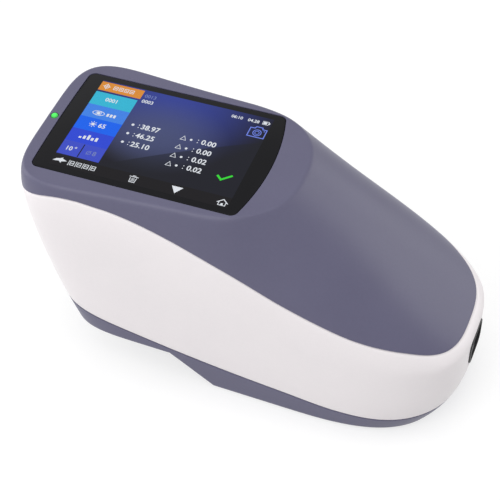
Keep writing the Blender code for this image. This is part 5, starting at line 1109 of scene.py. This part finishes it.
def patch(left, top, right, bottom):
    return across.inside(left, right) * down.inside(top, bottom)


def glow(column, row, wide, tall):
    first = (across - column) / wide
    second = (down - row) / tall
    return (1.0 - (first * first + second * second)).clip()


def pixel_grid(column, row):
    """bright dots with dark lines between them, nine to the millimetre"""
    return (column * 9000.0).fraction().soft(0.05, 0.3) * (row * 9000.0).fraction().soft(0.05, 0.3)


colour = picture.mix(glow(0.42, 0.02, 0.62, 0.75) ** 1.5, (0.006, 0.006, 0.012), (0.030, 0.050, 0.300))
colour = picture.mix(glow(0.46, 0.44, 0.40, 0.42) ** 1.3 * 0.8, colour, (0.070, 0.085, 0.180))
# Painted shadow: beyond a faint curved line the glow is darkened towards black, as if shade fell across the screen.
shade_line = 0.87 - ((across - 0.28) / 0.72) * 0.60 + glow(0.62, 0.5, 0.4, 9.0) * -0.03
colour = picture.mix((down - shade_line).soft(-0.004, 0.006) * 0.62, colour, (0.006, 0.007, 0.012))
tiles = (((0.0, 0.133, 0.245, 0.282), (0.030, 0.480, 0.680)), ((0.0, 0.282, 0.245, 0.428), (0.050, 0.230, 0.820)),
         ((0.0, 0.428, 0.245, 0.572), (0.002, 0.125, 0.880)), ((0.0, 0.572, 0.245, 0.716), (0.022, 0.062, 0.680)),
         ((0.0, 0.716, 0.245, 0.870), (0.045, 0.075, 0.580)), ((0.0, 0.012, 0.253, 0.113), (0.730, 0.270, 0.030)),
         ((0.117, 0.722, 0.123, 0.866), (0.004, 0.004, 0.010)), ((0.0, 0.890, 1.0, 1.0), (0.004, 0.003, 0.003)))
for (left, top, right, bottom), paint in tiles:
    colour = picture.mix(patch(left, top, right, bottom), colour, paint)
picture.set(emission_color=picture.mix(pixel_grid(x, y) * 0.25 + 0.75, (0.0, 0.0, 0.0), colour))


def figure_finish(name, paint, level):
    made = Finish(name, base_color=(0.02, 0.02, 0.02), roughness=0.07, ior=COATED_IOR, emission_strength=level)
    column, row, _ = made.axes()
    dark = tuple(part * 0.7 for part in paint)
    made.set(emission_color=made.mix(pixel_grid(column, row), dark, paint))
    return made


screen_finishes = [glass, picture, figure_finish("figures_white", (0.86, 0.90, 0.96), 0.9),
                   figure_finish("figures_blue", (0.16, 0.24, 0.85), 1.0),
                   figure_finish("figures_green", (0.02, 0.80, 0.02), 0.9),
                   figure_finish("figures_dim", (0.20, 0.26, 0.62), 0.8)]
print(len(screen_finishes), "screen finishes")

# %% [markdown]
# The other finishes are metals with the marks of how they were made, laminate with copper tracks, the
# white powder of the sphere, rubber, film and glass. Stripes come from the fraction of a coordinate. The ruled
# gold also carries a painted rainbow reflection in its colour.

# %% Metals
def metal(name, colour, roughness, stretch, marks):
    """long fine marks along X, as brushing or rolling leaves them"""
    made = Finish(name, metallic=1.0)
    lines = made.noise(400.0, 3.0, 0.6, made.mapped(scale=stretch))
    spots = made.noise(45.0, 3.0)
    dark = tuple(part * 0.82 for part in colour)
    made.set(base_color=made.mix((lines * 0.6 + spots * 0.4).soft(0.3, 0.7), dark, colour))
    made.set(roughness=roughness - 0.06 + lines * 0.16 + spots * 0.06)
    made.bump(lines, marks)
    return made


aluminium = metal("aluminium", (0.74, 0.75, 0.77), 0.34, (0.25, 6.0, 6.0), 0.00001)
steel = metal("steel", (0.60, 0.60, 0.62), 0.27, (3.0, 3.0, 3.0), 0.000006)
gold = Finish("grating_gold", metallic=1.0)
_, y, z = gold.axes()
ruled = (y * 6000.0).fraction()
# Painted reflection: diagonal bands of pink, green and gold stand in for the rainbow that the ruled grating reflects.
rainbow_bands = (y * 90.0 + z * 25.0).fraction()
painted_rainbow = gold.mix(rainbow_bands.soft(0.0, 0.4), (0.75, 0.45, 0.60), (0.55, 0.78, 0.50))
painted_rainbow = gold.mix(rainbow_bands.soft(0.4, 1.0), painted_rainbow, (0.90, 0.72, 0.42))
gold.set(base_color=gold.mix(ruled * 0.3 + 0.4, (0.85, 0.78, 0.55), painted_rainbow), roughness=0.12 + ruled * 0.1)
gold.bump(ruled, 0.00001)
print("two plain metals and the ruled gold")

# %% Circuit boards, one finish for each lie of the board
def laminate(name, axis, low, high, rotation=(0.0, 0.0, 0.0), origin=(0.0, 0.0, 0.0)):
    """green laminate with tracks between two heights, dark component bodies outside them"""
    made = Finish(name)
    turn = Matrix.Rotation(rotation[1], 4, "Y")
    shift = -(turn @ Vector(origin))
    parts = made.axes(made.mapped(location=tuple(shift), rotation=rotation))
    height = parts[axis]
    first, second = [part for number, part in enumerate(parts) if number != axis]
    bends = made.noise(120.0, 1.0) * 0.004
    tracks = ((first + bends) * 620.0).fraction().inside(0.30, 0.62) * (made.noise(95.0, 0.0) > 0.5)
    cross = ((second + bends) * 620.0).fraction().inside(0.30, 0.62) * (made.noise(70.0, 0.0) > 0.52)
    green = made.mix(tracks.most(cross), (0.008, 0.085, 0.035), (0.020, 0.190, 0.080))
    offsets = [(part * 390.0).fraction() - 0.5 for part in (first, second)]
    holes = (offsets[0] * offsets[0] + offsets[1] * offsets[1]) < 0.022
    holes = holes * (made.noise(160.0, 0.0) > 0.56)
    green = made.mix(holes, green, (0.75, 0.62, 0.28))
    body = 1.0 - height.inside(low, high)
    grit = made.noise(1500.0, 2.0)
    made.set(base_color=made.mix(body, green, made.mix(grit, (0.012, 0.012, 0.014), (0.030, 0.030, 0.034))))
    made.set(roughness=0.34 + grit * 0.16 + body * 0.12)
    made.bump(tracks.most(cross) + grit * 0.2, 0.00003)
    return made


tilt = (0.0, PLATFORM_TILT, 0.0)
screen_origin = (SCREEN_X, 0.0, PLATFORM_HEIGHT)
boards = {"main_board": laminate("main_laminate", 2, -0.0126, -0.0105, tilt, screen_origin)}
for node, axis, shares in (("interface_board", 0, (0.5, 1.1)), ("button_board", 1, (-0.1, 0.35)),
                           ("detector_board", 0, (-0.1, 1.1)), ("lamp_board", 2, (-1.0, 2.0))):
    low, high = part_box(node)
    size = high[axis] - low[axis]
    boards[node] = laminate(node + "_laminate", axis, low[axis] + shares[0] * size, low[axis] + shares[1] * size)

# %% Powder, rubber, film, cable and lens
def grainy(name, noise, dark, light, roughness, relief):
    """a dull skin with one even grain; roughness is its least value and its spread"""
    made = Finish(name)
    grain = made.noise(*noise)
    made.set(base_color=made.mix(grain, dark, light), roughness=roughness[0] + grain * roughness[1])
    made.bump(grain, relief)
    return made


sphere_white = grainy("sphere_white", (2200.0, 3.0, 0.65), (0.84, 0.84, 0.82), (0.92, 0.92, 0.91),
                      (0.82, 0.1), 0.00003)
rubber = grainy("rubber", (1800.0, 2.0), (0.018, 0.018, 0.018), (0.045, 0.045, 0.045),
                (0.78, 0.14), 0.00004)

wrap = Finish("battery_wrap")
x, y, z = wrap.axes()
waves = wrap.noise(90.0, 3.0, vector=wrap.mapped(scale=(0.4, 2.0, 2.0)))
ends = 1.0 - x.soft(0.0150, 0.0158) * (1.0 - x.soft(0.0682, 0.0690))
seam = abs(y).soft(0.0003, 0.0007)
film = wrap.mix(waves, (0.020, 0.110, 0.340), (0.035, 0.170, 0.460))
film = wrap.mix(seam, (0.012, 0.060, 0.200), film)
wrap.set(base_color=wrap.mix(ends, film, (0.030, 0.030, 0.034)), roughness=0.28 + waves * 0.22)
wrap.bump(waves, 0.0001)

ribbon = Finish("flat_cable")
_, y, _ = ribbon.axes()
wires = (y * 1000.0).fraction().inside(0.25, 0.75)
cloud = ribbon.noise(150.0, 2.0)
amber = ribbon.mix(cloud, (0.50, 0.22, 0.03), (0.62, 0.30, 0.05))
ribbon.set(base_color=ribbon.mix(wires, amber, (0.34, 0.12, 0.02)), roughness=0.30 + cloud * 0.15)
ribbon.bump(wires, 0.00002)

lens_glass = Finish("optical_glass", transmission_weight=0.9, ior=1.52)
haze = lens_glass.noise(300.0, 2.0)
lens_glass.set(base_color=lens_glass.mix(haze, (0.80, 0.88, 0.92), (0.88, 0.86, 0.95)), roughness=0.02 + haze * 0.03)

lens_green = Finish("green_lens", emission_strength=0.8, roughness=0.18)
x, y, _ = lens_green.axes(lens_green.mapped(location=(0.0882, 0.0, 0.0)))
off_centre = ((x * x + y * y) ** 0.5).soft(0.0003, 0.0014)
lens_green.set(emission_color=lens_green.mix(off_centre, (0.03, 0.85, 0.06), (0.01, 0.30, 0.02)))
lens_green.set(base_color=lens_green.mix(off_centre, (0.05, 0.50, 0.08), (0.03, 0.28, 0.05)))
print("powder, rubber, film, cable and lens are ready")

# %% [markdown]
# The floor is white paper. For rays from the camera, and for mirrors and glass, it glows a little, so it
# looks white all over and keeps only a faint shadow. The light that it throws on the object stays plain.

# %% Floor paper
paper = Finish("floor_paper", roughness=0.7, emission_strength=1.0)
fibres = paper.noise(60.0, 3.0)
rays = ("Camera", "Glossy", "Transmission")
looks = [paper.node("ShaderNodeLightPath", {}, {}, f"Is {ray} Ray") for ray in rays]
seen = looks[0].most(looks[1]).most(looks[2])
plain = paper.mix(fibres, (0.480, 0.480, 0.480), (0.520, 0.520, 0.520))
shaded = paper.mix(fibres, (0.390, 0.390, 0.390), (0.410, 0.410, 0.410))
paper.set(base_color=paper.mix(seen, plain, shaded))
paper.set(emission_color=paper.mix(seen, (0.0, 0.0, 0.0), (0.62, 0.62, 0.62)))
floor_piece.data.materials.append(paper.material)
print("floor has", len(floor_piece.data.materials), "finish")

# %% [markdown]
# ## Finishes onto pieces
#
# A new piece was tagged with its finish when it was made. A CAD node carries the name of its material
# slot, so the same table serves both. Circuit boards have a finish of their own.

# %% Put every finish on its pieces
finishes = {made.name: made for made in (dark_shell, white_shell, black_plastic, *screen_finishes, aluminium,
            steel, gold, sphere_white, rubber, wrap, ribbon, lens_glass, lens_green)}
by_slot = {name: made.material for name, made in finishes.items()}
dressed = 0
for node, piece in frame["nodes"].items():
    slot_name = piece.data.materials[0].name.split(".")[0]
    chosen = boards[node].material if node in boards else by_slot[slot_name]
    for slot in piece.material_slots:
        slot.material = chosen
    dressed += 1
for piece in bpy.data.objects:
    if "finish" in piece:
        piece.data.materials.clear()
        piece.data.materials.append(by_slot[piece["finish"]])
        piece["finish"] in ("dark_shell", "white_shell", "black_plastic", "black_glass", "green_lens", "rubber")
        dressed += 1
print(dressed, "pieces have a finish")

# %% Picture settings and the closing lines
bpy.context.scene.view_settings.view_transform = "Standard"
